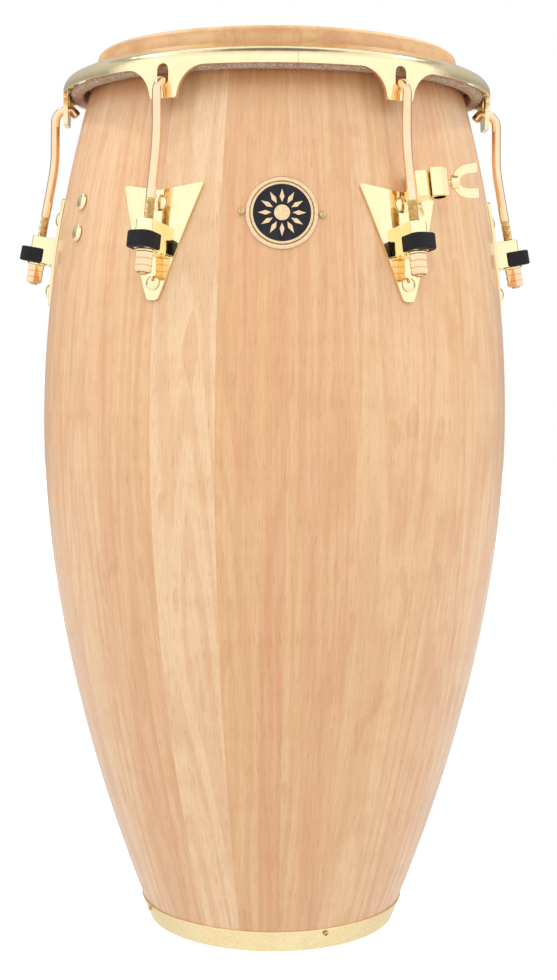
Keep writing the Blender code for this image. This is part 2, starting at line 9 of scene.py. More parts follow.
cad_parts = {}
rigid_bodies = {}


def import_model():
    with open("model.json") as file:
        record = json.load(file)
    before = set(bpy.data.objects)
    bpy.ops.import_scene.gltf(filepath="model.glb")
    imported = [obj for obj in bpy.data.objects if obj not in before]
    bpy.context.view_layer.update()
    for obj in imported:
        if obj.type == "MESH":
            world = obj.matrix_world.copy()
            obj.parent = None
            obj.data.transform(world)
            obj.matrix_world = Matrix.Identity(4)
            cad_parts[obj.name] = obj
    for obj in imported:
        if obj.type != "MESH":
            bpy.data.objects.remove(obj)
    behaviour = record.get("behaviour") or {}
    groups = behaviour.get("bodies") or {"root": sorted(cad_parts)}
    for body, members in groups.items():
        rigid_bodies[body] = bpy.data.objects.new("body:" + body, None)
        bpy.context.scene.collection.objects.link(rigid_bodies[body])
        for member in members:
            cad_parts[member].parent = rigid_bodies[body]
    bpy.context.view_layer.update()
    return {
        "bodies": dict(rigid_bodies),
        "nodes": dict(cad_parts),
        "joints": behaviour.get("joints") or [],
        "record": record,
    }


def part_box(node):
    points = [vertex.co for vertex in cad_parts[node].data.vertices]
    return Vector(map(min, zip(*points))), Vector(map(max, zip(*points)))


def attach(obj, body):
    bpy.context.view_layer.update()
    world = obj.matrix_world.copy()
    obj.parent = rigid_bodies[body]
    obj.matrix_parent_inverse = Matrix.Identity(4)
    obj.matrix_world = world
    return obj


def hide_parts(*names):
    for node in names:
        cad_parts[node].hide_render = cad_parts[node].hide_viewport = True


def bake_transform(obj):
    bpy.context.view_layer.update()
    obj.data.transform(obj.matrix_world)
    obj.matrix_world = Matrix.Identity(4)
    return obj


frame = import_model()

# The looks of a tumba: fine meshes and materials for each part of the drum, the room and the camera.
# Units are metres. Angles round the drum are in degrees from -Y, where the badge is, towards +X.
# A lug's own frame has its origin where the thread leaves the bracket, Z up the thread, X along the
# rim and -Y out of the drum. A point in a lug's plane is (out, side, up): its distance from the
# drum's axis, its distance along the rim, and its height above the floor.

GAP = 0.0003
FINE = 192                       # columns round a turned piece
SHARP = math.radians(38)         # edges that turn more than this are rounded or kept sharp

# Shell
STAVES = 23
STAVE_COLUMNS = 8
FIRST_SEAM = math.radians(1.2)
FRONT_TONES = {-3: 0.5, -2: 1.12, -1: 0.34, 0: 0.46, 1: 0.66}   # how pale, by stave from the badge
OTHER_TONES = (0.28, 0.75)       # drawn between these
TONE_SEED = 5
CREASE = math.radians(50)        # the shell's edges stay sharp above this
UNDER_RIM_PAINTED_SHADE = (0.69, 0.738)         # painted shade: the wood's colour is darkened between these heights, where the rim shades it
OUTER_ROWS = 90
INNER_ROWS = 60
SHELL_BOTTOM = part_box("shell")[0].z
SHELL_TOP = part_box("shell")[1].z
SHELL_WALL = 0.0115
BELLY_HEIGHT = 0.443
BELLY_RADIUS = -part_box("shell")[0].y
TOP_RADIUS = 0.15725
FOOT_RADIUS = 0.1073
UPPER_CURVE = 2.0
LOWER_CURVE = 1.88
BEARING_EDGE = 0.004

# Skin, as (out, up, radius) corners of its upper side from the collar outwards, and its hoop
SKIN = 0.0012
SKIN_FLARE = ((0.1668, 0.7374, 0.0012), (0.1722, 0.7357, 0.004), (0.1795, 0.7352, 0.0))
SKIN_CENTRE = 0.012              # the innermost ring of the head's flat
SKIN_LEAVES_ABOVE = 0.002        # the collar follows the shell down to this far above its flare
HOOP_SECTION = (
    (0.1728, 0.7234, 0.003), (0.1842, 0.7236, 0.005), (0.1842, 0.734, 0.004), (0.1702, 0.7346, 0.002),
)
HOOP_ROUGHNESS = 0.00035
HOOP_LUMPS = ((160, 1.0), (420, 0.6))   # (fineness, share)

# Rim
RIM_OUTER = 0.1904
RIM_INNER = 0.1864
RIM_CROWN = (
    (RIM_OUTER, 0.7365, 0.012), (0.1699, 0.7457, 0.0009),
    (0.1687, 0.7437, 0.0009), (RIM_INNER, 0.7337, 0.006),
)
BAND_BOTTOM = 0.7256
BAND_TOP = 0.7285
EAR_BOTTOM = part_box("rim")[0].z
RIM_EDGE = 0.00025
EAR_HALF = 0.0128                # at its shoulder
EAR_TAPER = 0.0005               # narrower by this at its lower corners
EAR_CORNER = 0.002
EAR_SHOULDER = 0.7035            # its side curves out above this, at first by its slant
EAR_SLANT = 0.0025
EAR_FLARE = 0.0365               # half of its width where it meets the band
SLOT_HALF = 0.0052
SLOT_LOW = 0.7157
SLOT_HIGH = 0.7232
SLOT_LOW_LINE = 0.4              # the mesh's lines from the slot's ends reach the ear's side at
SLOT_HIGH_LINE = 0.8             # these shares of the height there
WELD_AT = 0.0085                 # across the front of the band
WELD_HEIGHTS = (0.735, 0.738)    # the mark fades out between these

# Lugs
LUGS = range(1, 7)
THREAD_TILT = math.radians(10)
THREAD_OUT = 0.2139
THREAD_UP = 0.5785
PITCH = 0.0254 / 18
THREAD_STEPS = 8                 # for each turn of a thread
THREAD_DEPTH = 0.0006
THREAD_FROM = 0.021              # along the thread, from inside the bracket
THREAD_TO = 0.0415
ROD_RADIUS = 0.004
ROD_SIDES = 24
ROD_OUT = 0.1985
ROD_END = -0.02
ROD_CHAMFER = 0.0007
ROD_TIP_EDGE = 0.0005
ROD_CORE = 0.9                   # share of the radius below the thread, and at the very end
ROD_POINT = 0.7
THREAD_RUN_OUT = 0.001
THREAD_SLOPE = 1.35
THREAD_FLAT = 0.12
HOOK_UP = 0.7156
HOOK_CORNER = 0.184
HOOK_TIP = (0.179, 0.7098)
HOOK_BENDS = (0.004, 0.0115, 0.15)
BRACKET_HEIGHT = 0.0235
BRACKET_HALF = 0.00775
BRACKET_FRONT = 0.0072
BRACKET_BACK = 0.0155
BRACKET_WALL = 0.0028
BRACKET_CORNER = 0.003
BEAD_RADIUS = 0.0022             # of the weld under the bracket
BEAD_AT = (0.0112, 0.0004)       # towards the shell, and along the thread
RUBBER_HEIGHT = 0.0128
RUBBER_HALF = 0.0114
RUBBER_FRONT = 0.0155
RUBBER_BACK = 0.0045
RUBBER_CORNER = 0.0082
WASHER_RADIUS = 0.0085
WASHER_THICK = 0.0018
WASHER_CORNER = 0.0006
WASHER_BORE_CORNER = 0.0002
NUT_HALF = 0.0065                # half of its width across flats
NUT_TOP = -0.0024
NUT_BOTTOM = -0.0184
NUT_GROOVES = (-0.0076, -0.0132)
NUT_GROOVE_HALF = 0.0006
NUT_CORNER = 0.0006
NUT_GROOVED = 0.9                # share of the nut's width left in a groove
NUT_HEAD = ((0, 0.97), (0.0003, 1))                     # (down from its top, share of its width)
NUT_FOOT = ((0.0017, 1), (0.0004, 0.9), (0, 0.83))      # (up from its foot, share of its width)
BORE_RADIUS = 0.0044

# Side plates, as heights on the shell
PLATE_TIP = 0.539
PLATE_DIP = 0.6267
PLATE_TOP = 0.6325
PLATE_HALF = 0.0372
PLATE_TIP_HALF = 0.0052
PLATE_TIP_CORNER = 0.0042
PLATE_TOP_CORNER = 0.0016
PLATE_DIP_CORNER = 0.012
PLATE_THICK = 0.0025
PLATE_COLUMNS = 44
PLATE_ROWS = 26
PLATE_BOLTS = {"upper": (0.6165, 0.0068), "lower": (0.5527, 0.006)}   # (height, head's radius)

# Fasteners
BOLT_SHANK = 0.003
BOLT_END = -0.022
BOLT_DOME = 0.0035
DOME_SIDE = 0.12                 # share of a dome's height that its upright side takes
DIMPLE_SIDES = ((0.35, 1.0), (0.45, 0.1))   # (share of the head's radius, share of the dimple's depth)
SHANK_POINT = 0.9
SIDE_BOLT_HEAD = 0.00725
SIDE_BOLT_ANGLE = -60
SIDE_BOLTS = {"upper": 0.6243, "lower": 0.598}
INNER_WASHER = (0.0078, 0.0012)  # radius and thickness
INNER_NUT = (0.005, 0.0042)      # half of its width across flats, and height
INNER_NUT_END = 0.92             # share of the nut's width at its ends
INNER_NUT_CHAMFER = 0.0005
INNER_NUT_CORNER = 0.0004
PIN_SHANK = 0.001
PIN_END = -0.0076
PIN_DOME = 0.0014
NAIL_DIMPLE = 0.0009
SCREW_DIMPLE = 0.0011

# Badge
BADGE_HEIGHT = (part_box("badge")[0].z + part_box("badge")[1].z) / 2
BADGE_RADIUS = 0.0288
BADGE_THICK = 0.001
BADGE_RINGS = {"border": 0.0253, "line": 0.0246, "inner ring": 0.0227}
BADGE_TURN = math.radians(-1.9)
BADGE_PIN_OUT = 0.0316
BADGE_PIN_HEAD = 0.00275
SUN_RAYS = 12
SUN_CORE = 0.0062
SUN_RAY_FROM = 0.0082
SUN_RAY_WIDEST = 0.0127
SUN_RAY_TO = 0.0188
SUN_RAY_HALF = 0.0019
SUN_SUNK = 0.0001
SUN_RAISED = 0.00025

# Foot band
BAND_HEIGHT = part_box("bottom_band")[1].z
BAND_THICK = 0.001
BAND_LIP_INNER = 0.1025
BAND_LIP_THICK = 0.0017
HEM_RADIUS = 0.0006              # of the fold at the foot, and how far the top edge slopes in
BAND_SCREW_HEIGHT = 0.0152
BAND_SCREW_HEAD = 0.0023
BAND_SCREW_ANGLES = (22, 112, 202, 292)

# Accessory clamp: X runs out along its screw, Z up its bore
CLAMP_ANGLE = 33.6
CLAMP_UP = 0.631
CLAMP_OFF_SHELL = 0.0124
CLAMP_TURN = math.radians(32)
CLAMP_BASE_HALF = 0.0105
CLAMP_BASE = (
    (-0.0076, -0.0035, 0.0012), (0.0022, -0.0096, 0.004), (0.0096, 0.0022, 0.001),
    (0.0105, 0.0092, 0.0004), (-0.0065, 0.0092, 0.0004),
)
CLAMP_BLOCK_HALF = 0.0114
CLAMP_BLOCK = ((0.0074, 0.009, 0.0008), (0.0159, 0.009, 0.0008), (0.0217, 0.0045, 0.0008))
CLAMP_BORE_AT = 0.0144
CLAMP_BORE = 0.0051
CLAMP_SCREW = 0.003
CLAMP_SCREW_FROM = 0.0198
CLAMP_SCREW_TO = 0.029
CLAMP_PASSAGE = 0.0033
CLAMP_PASSAGE_TO = 0.03
CLAMP_BORE_END = 0.02            # beyond the block, above and below
CLAMP_PITCH = 0.00127
CLAMP_THREAD_DEPTH = 0.0004
WING_BOSS = 0.0058
WING_BOSS_FROM = 0.0245
WING_BOSS_TO = 0.0305
WING_BOSS_HOLE = 0.0031
WING_BOSS_CORNER = 0.0008
WING_SHAPE = (
    (0.0272, 0.0072, 0.0015), (0.03, 0.0105, 0.003), (0.0355, 0.0133, 0.004), (0.0455, 0.0145, 0.001),
    (0.0466, 0.0125, 0.0008), (0.0462, 0.0062, 0.0009), (0.0385, 0.0058, 0.002), (0.0345, 0.005, 0.002),
    (0.0321, 0.0025, 0.002),
)
WING_HALF_WIDTH = 0.0021
WING_TURN = math.radians(12)

# Room, as (height of a direction, brightness) stops: its light, and what metal mirrors of its front
# and back halves, which meet over a stretch of Y. Then the two small lights above the head.
LIGHT_BY_HEIGHT = (
    (-1.0, 0.92), (-0.08, 0.9), (0.05, 0.66), (0.28, 0.7), (0.5, 1.85), (0.85, 1.8), (1.0, 1.4),
)
FRONT_BY_HEIGHT = (
    (-1.0, 1.02), (-0.1, 1.08), (0.0, 1.15), (0.6, 1.22),
    (0.85, 0.98), (0.92, 0.85), (0.97, 0.22), (1.0, 0.2),
)
BACK_BY_HEIGHT = (
    (-1.0, 0.9), (-0.16, 0.9), (-0.08, 0.4), (0.1, 0.36), (0.3, 0.55),
    (0.6, 0.66), (0.66, 0.44), (0.72, 0.46), (0.78, 1.2), (0.94, 0.95), (0.975, 0.3), (1.0, 0.2),
)
BACK_BY_DEPTH = ((-0.05, 0.0), (0.2, 1.0))
TOP_LIGHT_AT = (1.2, 0.42, 2.4)
TOP_LIGHT_SIZE = 0.13
TOP_LIGHT_POWER = 14
FLOOR_RADIUS = 6
FLOOR_DROP = 0.0004              # below the foot
FLOOR_GLOW = 0.62

# Camera
CAMERA_AWAY = 1.45
CAMERA_UP = 0.4935
CAMERA_ANGLE = math.radians(-1.4)
CAMERA_ROLL = math.radians(0.4)
CAMERA_LENS = 59.18
CAMERA_SHIFT = (0.0036, -0.1337)


# Shapes

def shell_radius(height):
    if height >= BELLY_HEIGHT:
        share = (height - BELLY_HEIGHT) / (SHELL_TOP - BELLY_HEIGHT)
        return BELLY_RADIUS - (BELLY_RADIUS - TOP_RADIUS) * share ** UPPER_CURVE
    share = (BELLY_HEIGHT - height) / BELLY_HEIGHT
    return BELLY_RADIUS - (BELLY_RADIUS - FOOT_RADIUS) * share ** LOWER_CURVE


def shell_lean(height):
    """Angle by which the shell's surface faces upwards at a height."""
    step = 0.001
    return math.atan((shell_radius(height - step) - shell_radius(height + step)) / (2 * step))


def lug_point(out, side, up):
    return Vector((side, -out, up))


def turn_about_drum(angle):
    return Matrix.Rotation(math.radians(angle), 4, "Z")


def quarter_turn(axis):
    return Matrix.Rotation(math.radians(90), 4, axis)


def shell_frame(angle, height):
    """A frame on the shell's surface: X along the shell, Y into it, Z up the stave."""
    place = Matrix.Translation(lug_point(shell_radius(height), 0, height))
    return turn_about_drum(angle) @ place @ Matrix.Rotation(-shell_lean(height), 4, "X")


def bolt_frame(angle, height):
    """The same place with Z out of the shell."""
    return shell_frame(angle, height) @ quarter_turn("X")


def on_shell(side, height, out):
    """A point above the shell at angle 0: side is measured along the shell, out from its surface."""
    lean = shell_lean(height)
    radius = shell_radius(height) + out * math.cos(lean)
    turn = side / shell_radius(height)
    return Vector((radius * math.sin(turn), -radius * math.cos(turn), height + out * math.sin(lean)))


def front_thread_frame():
    """The frame of a lug that would stand at angle 0, in which every lug's pieces are drawn."""
    place = Matrix.Translation(lug_point(THREAD_OUT, 0, THREAD_UP))
    return place @ Matrix.Rotation(-THREAD_TILT, 4, "X")


def lug_frame(number):
    """A lug's frame, from the joint that its nut turns on."""
    joint = next(joint for joint in frame["joints"] if joint["name"] == f"nut_{number}_turn")
    up = Vector(joint["axis"]).normalized()
    side = up.cross(Vector((0, 0, 1))).normalized()
    turn = Matrix((side, up.cross(side), up)).transposed().to_4x4()
    return Matrix.Translation(joint["pos_m"]) @ turn


def lug_angle(number):
    place = lug_frame(number).translation
    return math.degrees(math.atan2(place.x, -place.y))


def spread(start, end, count):
    return [start + (end - start) * step / count for step in range(count + 1)]


def arc(centre, radius, start, end, steps):
    """Points of a round stretch of an outline, from one angle to another in degrees."""
    points = []
    for angle in spread(math.radians(start), math.radians(end), steps):
        points.append((centre[0] + radius * math.cos(angle), centre[1] + radius * math.sin(angle)))
    return points


def fillet(before, corner, after, radius, steps):
    """The points of a corner rounded to a radius, between its two neighbours."""
    if radius == 0:
        return [Vector(corner)]
    corner = Vector(corner)
    back = (Vector(before) - corner).normalized()
    ahead = (Vector(after) - corner).normalized()
    half = back.angle(ahead) / 2
    centre = corner + (back + ahead).normalized() * (radius / math.sin(half))
    start = corner + back * (radius / math.tan(half)) - centre
    end = corner + ahead * (radius / math.tan(half)) - centre
    sweep = start.angle(end)
    points = []
    for share in spread(0, 1, steps):
        near = math.sin((1 - share) * sweep) / math.sin(sweep)
        far = math.sin(share * sweep) / math.sin(sweep)
        points.append(centre + start * near + end * far)
    return points


def rounded(corners, steps=5):
    """A closed outline through (x, y, radius) corners."""
    places = [corner[:2] for corner in corners]
    outline = []
    for index, corner in enumerate(corners):
        after = places[(index + 1) % len(places)]
        outline += fillet(places[index - 1], places[index], after, corner[2], steps)
    return [tuple(point) for point in outline]


def mirrored(half):
    """The corners of a shape from its upper half, which runs along X."""
    return list(half) + [(x, -y, radius) for x, y, radius in reversed(half)]


def lofted(loops, wrap=False, tube=None):
    """A skin over loops of points, where a loop of one point is a tip. Without wrap its ends are capped."""
    mesh = tube or bmesh.new()
    rings = [[mesh.verts.new(point) for point in loop] for loop in loops]
    pairs = list(zip(rings, rings[1:]))
    if wrap:
        pairs.append((rings[-1], rings[0]))
    for first, second in pairs:
        count = max(len(first), len(second))
        for step in range(count):
            ahead = (step + 1) % count
            corners = [first[step % len(first)], first[ahead % len(first)]]
            corners += [second[ahead % len(second)], second[step % len(second)]]
            mesh.faces.new(list(dict.fromkeys(corners)))
    if not wrap:
        for ring in (rings[0], rings[-1]):
            if len(ring) > 2:
                mesh.faces.new(ring)
    return mesh


def circle(radius, up, count, frame=Matrix()):
    return [frame @ Vector((x, y, up)) for x, y in arc((0, 0), radius, -90, 270, count)[:-1]]


def turned(outline, count=FINE, frame=Matrix()):
    """A solid turned about Z from (radius, height) points, either from axis to axis or closed."""
    loops = []
    for radius, up in outline:
        loops.append(circle(radius, up, count, frame) if radius > 0 else [frame @ Vector((0, 0, up))])
    return lofted(loops, wrap=outline[0][0] > 0)


def prism(outline, low, high):
    """A flat outline in X and Y, extruded along Z."""
    return lofted([[Vector((x, y, up)) for x, y in outline] for up in (low, high)])


def drawn_through(path, radii, sides):
    """A round bar along a path that lies in one plane of constant X."""
    loops = []
    for index, (place, radius) in enumerate(zip(path, radii)):
        along = path[min(index + 1, len(path) - 1)] - path[max(index - 1, 0)]
        across = Vector((1, 0, 0))
        over = along.normalized().cross(across)
        loop = []
        for step in range(sides):
            turn = 2 * math.pi * step / sides
            reach = radius(turn) if callable(radius) else radius
            loop.append(place + (across * math.cos(turn) + over * math.sin(turn)) * reach)
        loops.append(loop)
    return lofted(loops)


def laid_on_shell(outline, inner, outer, columns, rows):
    """A plate with an outline in (side, height) that follows the shell between two distances from it."""
    sides = [x for x, _ in outline]
    left = sides.index(min(sides))
    loop = outline[left:] + outline[:left]
    right = [x for x, _ in loop].index(max(sides))
    chains = [loop[:right + 1], (loop[right:] + loop[:1])[::-1]]
    grid = []
    for share in spread(-90, 90, columns):
        side = (max(sides) + min(sides)) / 2 + (max(sides) - min(sides)) / 2 * math.sin(math.radians(share))
        low, high = sorted(height_on(chain, side) for chain in chains)
        grid.append([(side, height) for height in (spread(low, high, rows) if high - low > 1e-5 else [low])])
    mesh = bmesh.new()
    sheets = []
    for out in (inner, outer):
        sheets.append([[mesh.verts.new(on_shell(*point, out)) for point in column] for column in grid])
    for sheet in sheets:
        for first, second in zip(sheet, sheet[1:]):
            for row in range(rows):
                ends = [first[min(row, len(first) - 1)], first[min(row + 1, len(first) - 1)]]
                ends += [second[min(row + 1, len(second) - 1)], second[min(row, len(second) - 1)]]
                mesh.faces.new(list(dict.fromkeys(ends)))
    borders = []
    for sheet in sheets:
        border = [column[0] for column in sheet]
        border += sheet[-1][1:-1] + [column[-1] for column in reversed(sheet)] + sheet[0][-2:0:-1]
        borders.append(list(dict.fromkeys(border)))
    for step in range(len(borders[0])):
        ahead = (step + 1) % len(borders[0])
        mesh.faces.new([borders[0][step], borders[0][ahead], borders[1][ahead], borders[1][step]])
    return mesh


def height_on(chain, side):
    """The height at which a chain of (side, height) points passes a side."""
    for (before, low), (after, high) in zip(chain, chain[1:]):
        if before <= side <= after and after > before:
            return low + (high - low) * (side - before) / (after - before)
    return chain[0][1] if side < chain[0][0] + 1e-6 else chain[-1][1]


def linked(name, data):
    made = bpy.data.objects.new(name, data)
    bpy.context.scene.collection.objects.link(made)
    return made


def meshed(name, mesh, bevel=0.0, steps=2, frame=Matrix(), cut=None):
    """Mesh data from a drawn shape, closed up, cut, with its sharp edges rounded and its shading evened."""
    bmesh.ops.remove_doubles(mesh, verts=mesh.verts, dist=1e-7)
    bmesh.ops.recalc_face_normals(mesh, faces=mesh.faces)
    data = bpy.data.meshes.new(name)
    mesh.to_mesh(data)
    mesh.free()
    data.shade_smooth()
    work = linked(name, data)
    helper = None
    if cut:
        helper = linked(name, meshed(name, cut))
        boolean = work.modifiers.new("cut", "BOOLEAN")
        boolean.object = helper
        boolean.use_self = True
    if bevel:
        edge = work.modifiers.new("edge", "BEVEL")
        edge.width = bevel
        edge.segments = steps
        edge.limit_method = "ANGLE"
        edge.angle_limit = SHARP
        evened = work.modifiers.new("evened", "WEIGHTED_NORMAL")
        evened.keep_sharp = False
    bpy.context.view_layer.update()
    graph = bpy.context.evaluated_depsgraph_get()
    result = bpy.data.meshes.new_from_object(work.evaluated_get(graph))
    if not bevel:
        result.set_sharp_from_angle(angle=SHARP)
    result.transform(frame)
    for leftover in filter(None, (work, helper)):
        bpy.data.objects.remove(leftover, do_unlink=True)
    return result


def add(name, data, materials, body, stands_for=(), place=Matrix()):
    """A piece that rides on a body."""
    data = data.copy()
    data.materials.clear()
    for material in materials:
        data.materials.append(material)
    made = linked(name, data)
    made.matrix_world = place
    if stands_for:
        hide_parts(*stands_for)
    if body:
        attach(made, body)
    return made


# Materials

def colour(red, green, blue):
    """A linear colour from the 0 to 255 values that a screen shows."""
    linear = []
    for value in (red, green, blue):
        share = value / 255
        linear.append(share / 12.92 if share <= 0.04045 else ((share + 0.055) / 1.055) ** 2.4)
    return (*linear, 1)


WOOD_PALE = colour(243, 206, 162)
WOOD_TAN = colour(228, 176, 122)
WOOD_ROSY = colour(223, 161, 115)
WOOD_RING = colour(215, 155, 106)
WOOD_FIBRE = colour(204, 143, 94)
WOOD_PORE = colour(170, 108, 66)
WOOD_RAW = colour(196, 150, 108)
PLATED = ((0.99, 0.845, 0.53, 1), (0.97, 0.80, 0.475, 1))
PLATED_ROD = ((0.95, 0.72, 0.48, 1), (0.9, 0.64, 0.4, 1))


class Nodes:
    """A tree of shader nodes built step by step."""

    def node(self, kind, inputs=None, **settings):
        made = self.tree.nodes.new("ShaderNode" + kind)
        for key, value in settings.items():
            setattr(made, key, value)
        for socket, value in (inputs or {}).items():
            self.set(made.inputs[socket], value)
        return made

    def set(self, socket, value):
        if isinstance(value, bpy.types.NodeSocket):
            self.tree.links.new(value, socket)
        else:
            socket.default_value = value

    def mix(self, share, first, second, kind="MIX"):
        made = self.node("Mix", data_type="RGBA", blend_type=kind)
        for index, value in ((0, share), (6, first), (7, second)):
            self.set(made.inputs[index], value)
        return made.outputs[2]


class Recipe(Nodes):
    """A material."""

    def __init__(self, name):
        self.material = bpy.data.materials.new(name)
        self.material.use_nodes = True
        self.tree = self.material.node_tree
        self.shader = self.tree.nodes["Principled BSDF"]
        self.place = self.node("TexCoord").outputs["Object"]

    def finish(self, **inputs):
        for name, value in inputs.items():
            self.set(self.shader.inputs[name.replace("_", " ")], value)
        return self.material

    def attribute(self, name, output):
        return self.node("Attribute", attribute_name=name).outputs[output]

    def noise(self, stretch, place=None, detail=2.0, roughness=0.5, warp=0.0):
        inputs = {"Scale": 1.0, "Detail": detail, "Roughness": roughness, "Distortion": warp}
        inputs["Vector"] = self.node("Mapping", {"Vector": place or self.place, "Scale": stretch}).outputs[0]
        return self.node("TexNoise", inputs).outputs["Fac"]

    def math(self, operation, *values):
        return self.node("Math", dict(enumerate(values)), operation=operation).outputs[0]

    def band(self, value, low, high, least=0.0, most=1.0):
        """The value moved smoothly from low and high to least and most."""
        inputs = {"Value": value, "From Min": low, "From Max": high, "To Min": least, "To Max": most}
        return self.node("MapRange", inputs, interpolation_type="SMOOTHSTEP").outputs[0]

    def over(self, ground, tint, value, low, high, least=0.0, most=1.0):
        """A ground with a colour laid over it, more so as the value goes from low to high."""
        return self.mix(self.band(value, low, high, least, most), ground, tint)

    def bump(self, height, distance, strength=1.0):
        return self.node("Bump", {"Height": height, "Distance": distance, "Strength": strength}).outputs[0]


def wood(name, raw=False):
    """Straight-grained light hardwood with fine dark pores, in staves, lacquered or left raw inside."""
    make = Recipe(name)
    grain = make.attribute("grain", "Vector")
    tone = make.attribute("tone", "Fac")
    seam = make.attribute("seam", "Fac")
    height = make.node("SeparateXYZ", {0: grain}).outputs["Y"]
    broad = make.noise((34, 1.5, 11), grain, detail=3, roughness=0.55, warp=0.5)
    streaks = make.noise((210, 4.5, 11), grain, detail=4, roughness=0.6)
    fibres = make.noise((1300, 42, 11), grain, detail=3, roughness=0.7)
    pores = make.noise((1400, 64, 11), grain, detail=2, roughness=0.6)
    ripple = make.noise((30, 34, 11), grain, detail=3, roughness=0.6)
    islands = make.noise((62, 17, 11), grain, detail=0)
    field = make.noise((24, 1.7, 11), grain, detail=0.6, warp=0.3)
    rings = make.math("SINE", make.math("MULTIPLY", field, 52.0))
    ground = make.mix(make.band(broad, 0.36, 0.64), WOOD_ROSY, WOOD_TAN)
    shade = make.math("MULTIPLY_ADD", make.band(streaks, 0.3, 0.7), 0.44, make.math("SUBTRACT", tone, 0.33))
    ground = make.mix(shade, ground, WOOD_PALE)
    ground = make.over(ground, WOOD_RING, rings, -0.2, 0.95, most=0.3)
    ground = make.over(ground, WOOD_RING, ripple, 0.45, 0.7, most=0.22)
    ground = make.over(ground, WOOD_RING, islands, 0.72, 0.74, most=0.34)
    ground = make.over(ground, WOOD_FIBRE, fibres, 0.5, 0.72, most=0.42)
    ground = make.over(ground, WOOD_PALE, fibres, 0.28, 0.46, 0.22, 0.0)
    ground = make.over(ground, WOOD_PORE, pores, 0.57, 0.72, most=0.4)
    ground = make.over(ground, WOOD_PORE, seam, 0.0001, 0.0004, 0.1, 0.0)
    # painted shade under the rim: the wood's colour is multiplied darker towards the top of the shell
    ground = make.mix(make.band(height, *UNDER_RIM_PAINTED_SHADE), ground, (0.97, 0.8, 0.66, 1), kind="MULTIPLY")
    relief = make.math("ADD", make.band(pores, 0.58, 0.75, 0.0, -1.0), make.math("MULTIPLY", fibres, 0.4))
    if raw:
        ground = make.mix(0.35, ground, WOOD_RAW)
        return make.finish(Base_Color=ground, Roughness=0.8, Normal=make.bump(relief, 0.0004))
    gloss = make.band(make.noise((9, 9, 6), detail=2), 0.3, 0.7, 0.36, 0.46)
    return make.finish(
        Base_Color=ground, Roughness=gloss, Normal=make.bump(relief, 0.00006, 0.6),
        Coat_Weight=0.5, Coat_Roughness=0.16, Coat_IOR=1.45,
    )


def skin():
    """Natural hide: mottled, with hair follicles, darker towards the collar."""
    make = Recipe("skin")
    height = make.node("SeparateXYZ", {0: make.place}).outputs["Z"]
    clouds = make.noise((22, 22, 40), detail=5, roughness=0.6, warp=0.8)
    veins = make.noise((60, 60, 25), detail=4, roughness=0.65, warp=2.0)
    spots = make.noise((900, 900, 900), detail=1)
    ground = make.mix(make.band(clouds, 0.32, 0.68), colour(203, 150, 99), colour(219, 178, 124))
    ground = make.over(ground, colour(186, 132, 84), veins, 0.5, 0.75, most=0.5)
    ground = make.over(ground, colour(182, 126, 78), height, 0.7385, 0.757, 0.55, 0.0)
    ground = make.over(ground, colour(128, 84, 52), spots, 0.66, 0.76, most=0.5)
    relief = make.math("ADD", make.math("MULTIPLY", veins, 0.6), make.math("MULTIPLY", spots, 0.25))
    return make.finish(
        Base_Color=ground,
        Roughness=make.band(clouds, 0.3, 0.7, 0.42, 0.55), Normal=make.bump(relief, 0.0002),
        Subsurface_Weight=0.12, Subsurface_Radius=(0.004, 0.002, 0.001), Subsurface_Scale=0.5,
    )


def rawhide():
    """The rough, hairy side of the hide, round the flesh hoop."""
    make = Recipe("rawhide")
    fibres = make.noise((650, 650, 900), detail=4, roughness=0.7)
    patches = make.noise((110, 110, 150), detail=3, roughness=0.6)
    ground = make.mix(make.band(fibres, 0.34, 0.66), colour(150, 120, 98), colour(232, 208, 186))
    ground = make.over(ground, colour(168, 128, 102), patches, 0.4, 0.7, most=0.55)
    return make.finish(Base_Color=ground, Roughness=0.88, Normal=make.bump(fibres, 0.0006))


def gold(name, wear=0.5, weld=False, colours=PLATED):
    """Gold plate with faint smears, worn specks and slight waves, and on the rim the mark of its weld."""
    make = Recipe(name)
    smears = make.noise((55, 55, 30), detail=4, roughness=0.65, warp=0.6)
    waves = make.noise((95, 95, 95), detail=1)
    specks = make.noise((1300, 1300, 1300), detail=2)
    ground = make.mix(make.band(smears, 0.35, 0.7), *colours)
    ground = make.over(ground, (0.62, 0.42, 0.2, 1), specks, 0.66, 0.78, most=0.5 * wear)
    roughness = make.band(smears, 0.35, 0.75, 0.07, 0.07 + 0.13 * wear)
    relief = make.bump(waves, 0.0006, 0.35)
    if weld:
        sides = make.node("SeparateXYZ", {0: make.place}).outputs
        wander = make.math("MULTIPLY_ADD", make.noise((20, 20, 260), detail=3), 0.006, WELD_AT)
        near = make.math("ABSOLUTE", make.math("SUBTRACT", sides["X"], wander))
        front = make.math("LESS_THAN", sides["Y"], -0.1)
        low = make.math("MULTIPLY", front, make.band(sides["Z"], *WELD_HEIGHTS, 1.0, 0.0))
        mark = make.math("MULTIPLY", make.band(near, 0.0003, 0.0008, 0.4, 0.0), low)
        ground = make.mix(mark, ground, (0.6, 0.42, 0.16, 1))
        roughness = make.math("MULTIPLY_ADD", mark, 0.4, roughness)
    return make.finish(Base_Color=ground, Metallic=1.0, Roughness=roughness, Normal=relief)


def brass():
    """Satin brass sheet with a fine crackle of pale and dark specks."""
    make = Recipe("band_brass")
    specks = make.noise((520, 520, 520), detail=4, roughness=0.7)
    clouds = make.noise((35, 35, 60), detail=3)
    ground = make.mix(make.band(specks, 0.36, 0.64), (0.9, 0.7, 0.38, 1), (0.98, 0.81, 0.47, 1))
    ground = make.over(ground, (0.99, 0.85, 0.54, 1), clouds, 0.4, 0.7, most=0.4)
    roughness = make.band(specks, 0.35, 0.65, 0.42, 0.34)
    relief = make.bump(specks, 0.00006)
    return make.finish(Base_Color=ground, Metallic=1.0, Roughness=roughness, Normal=relief)


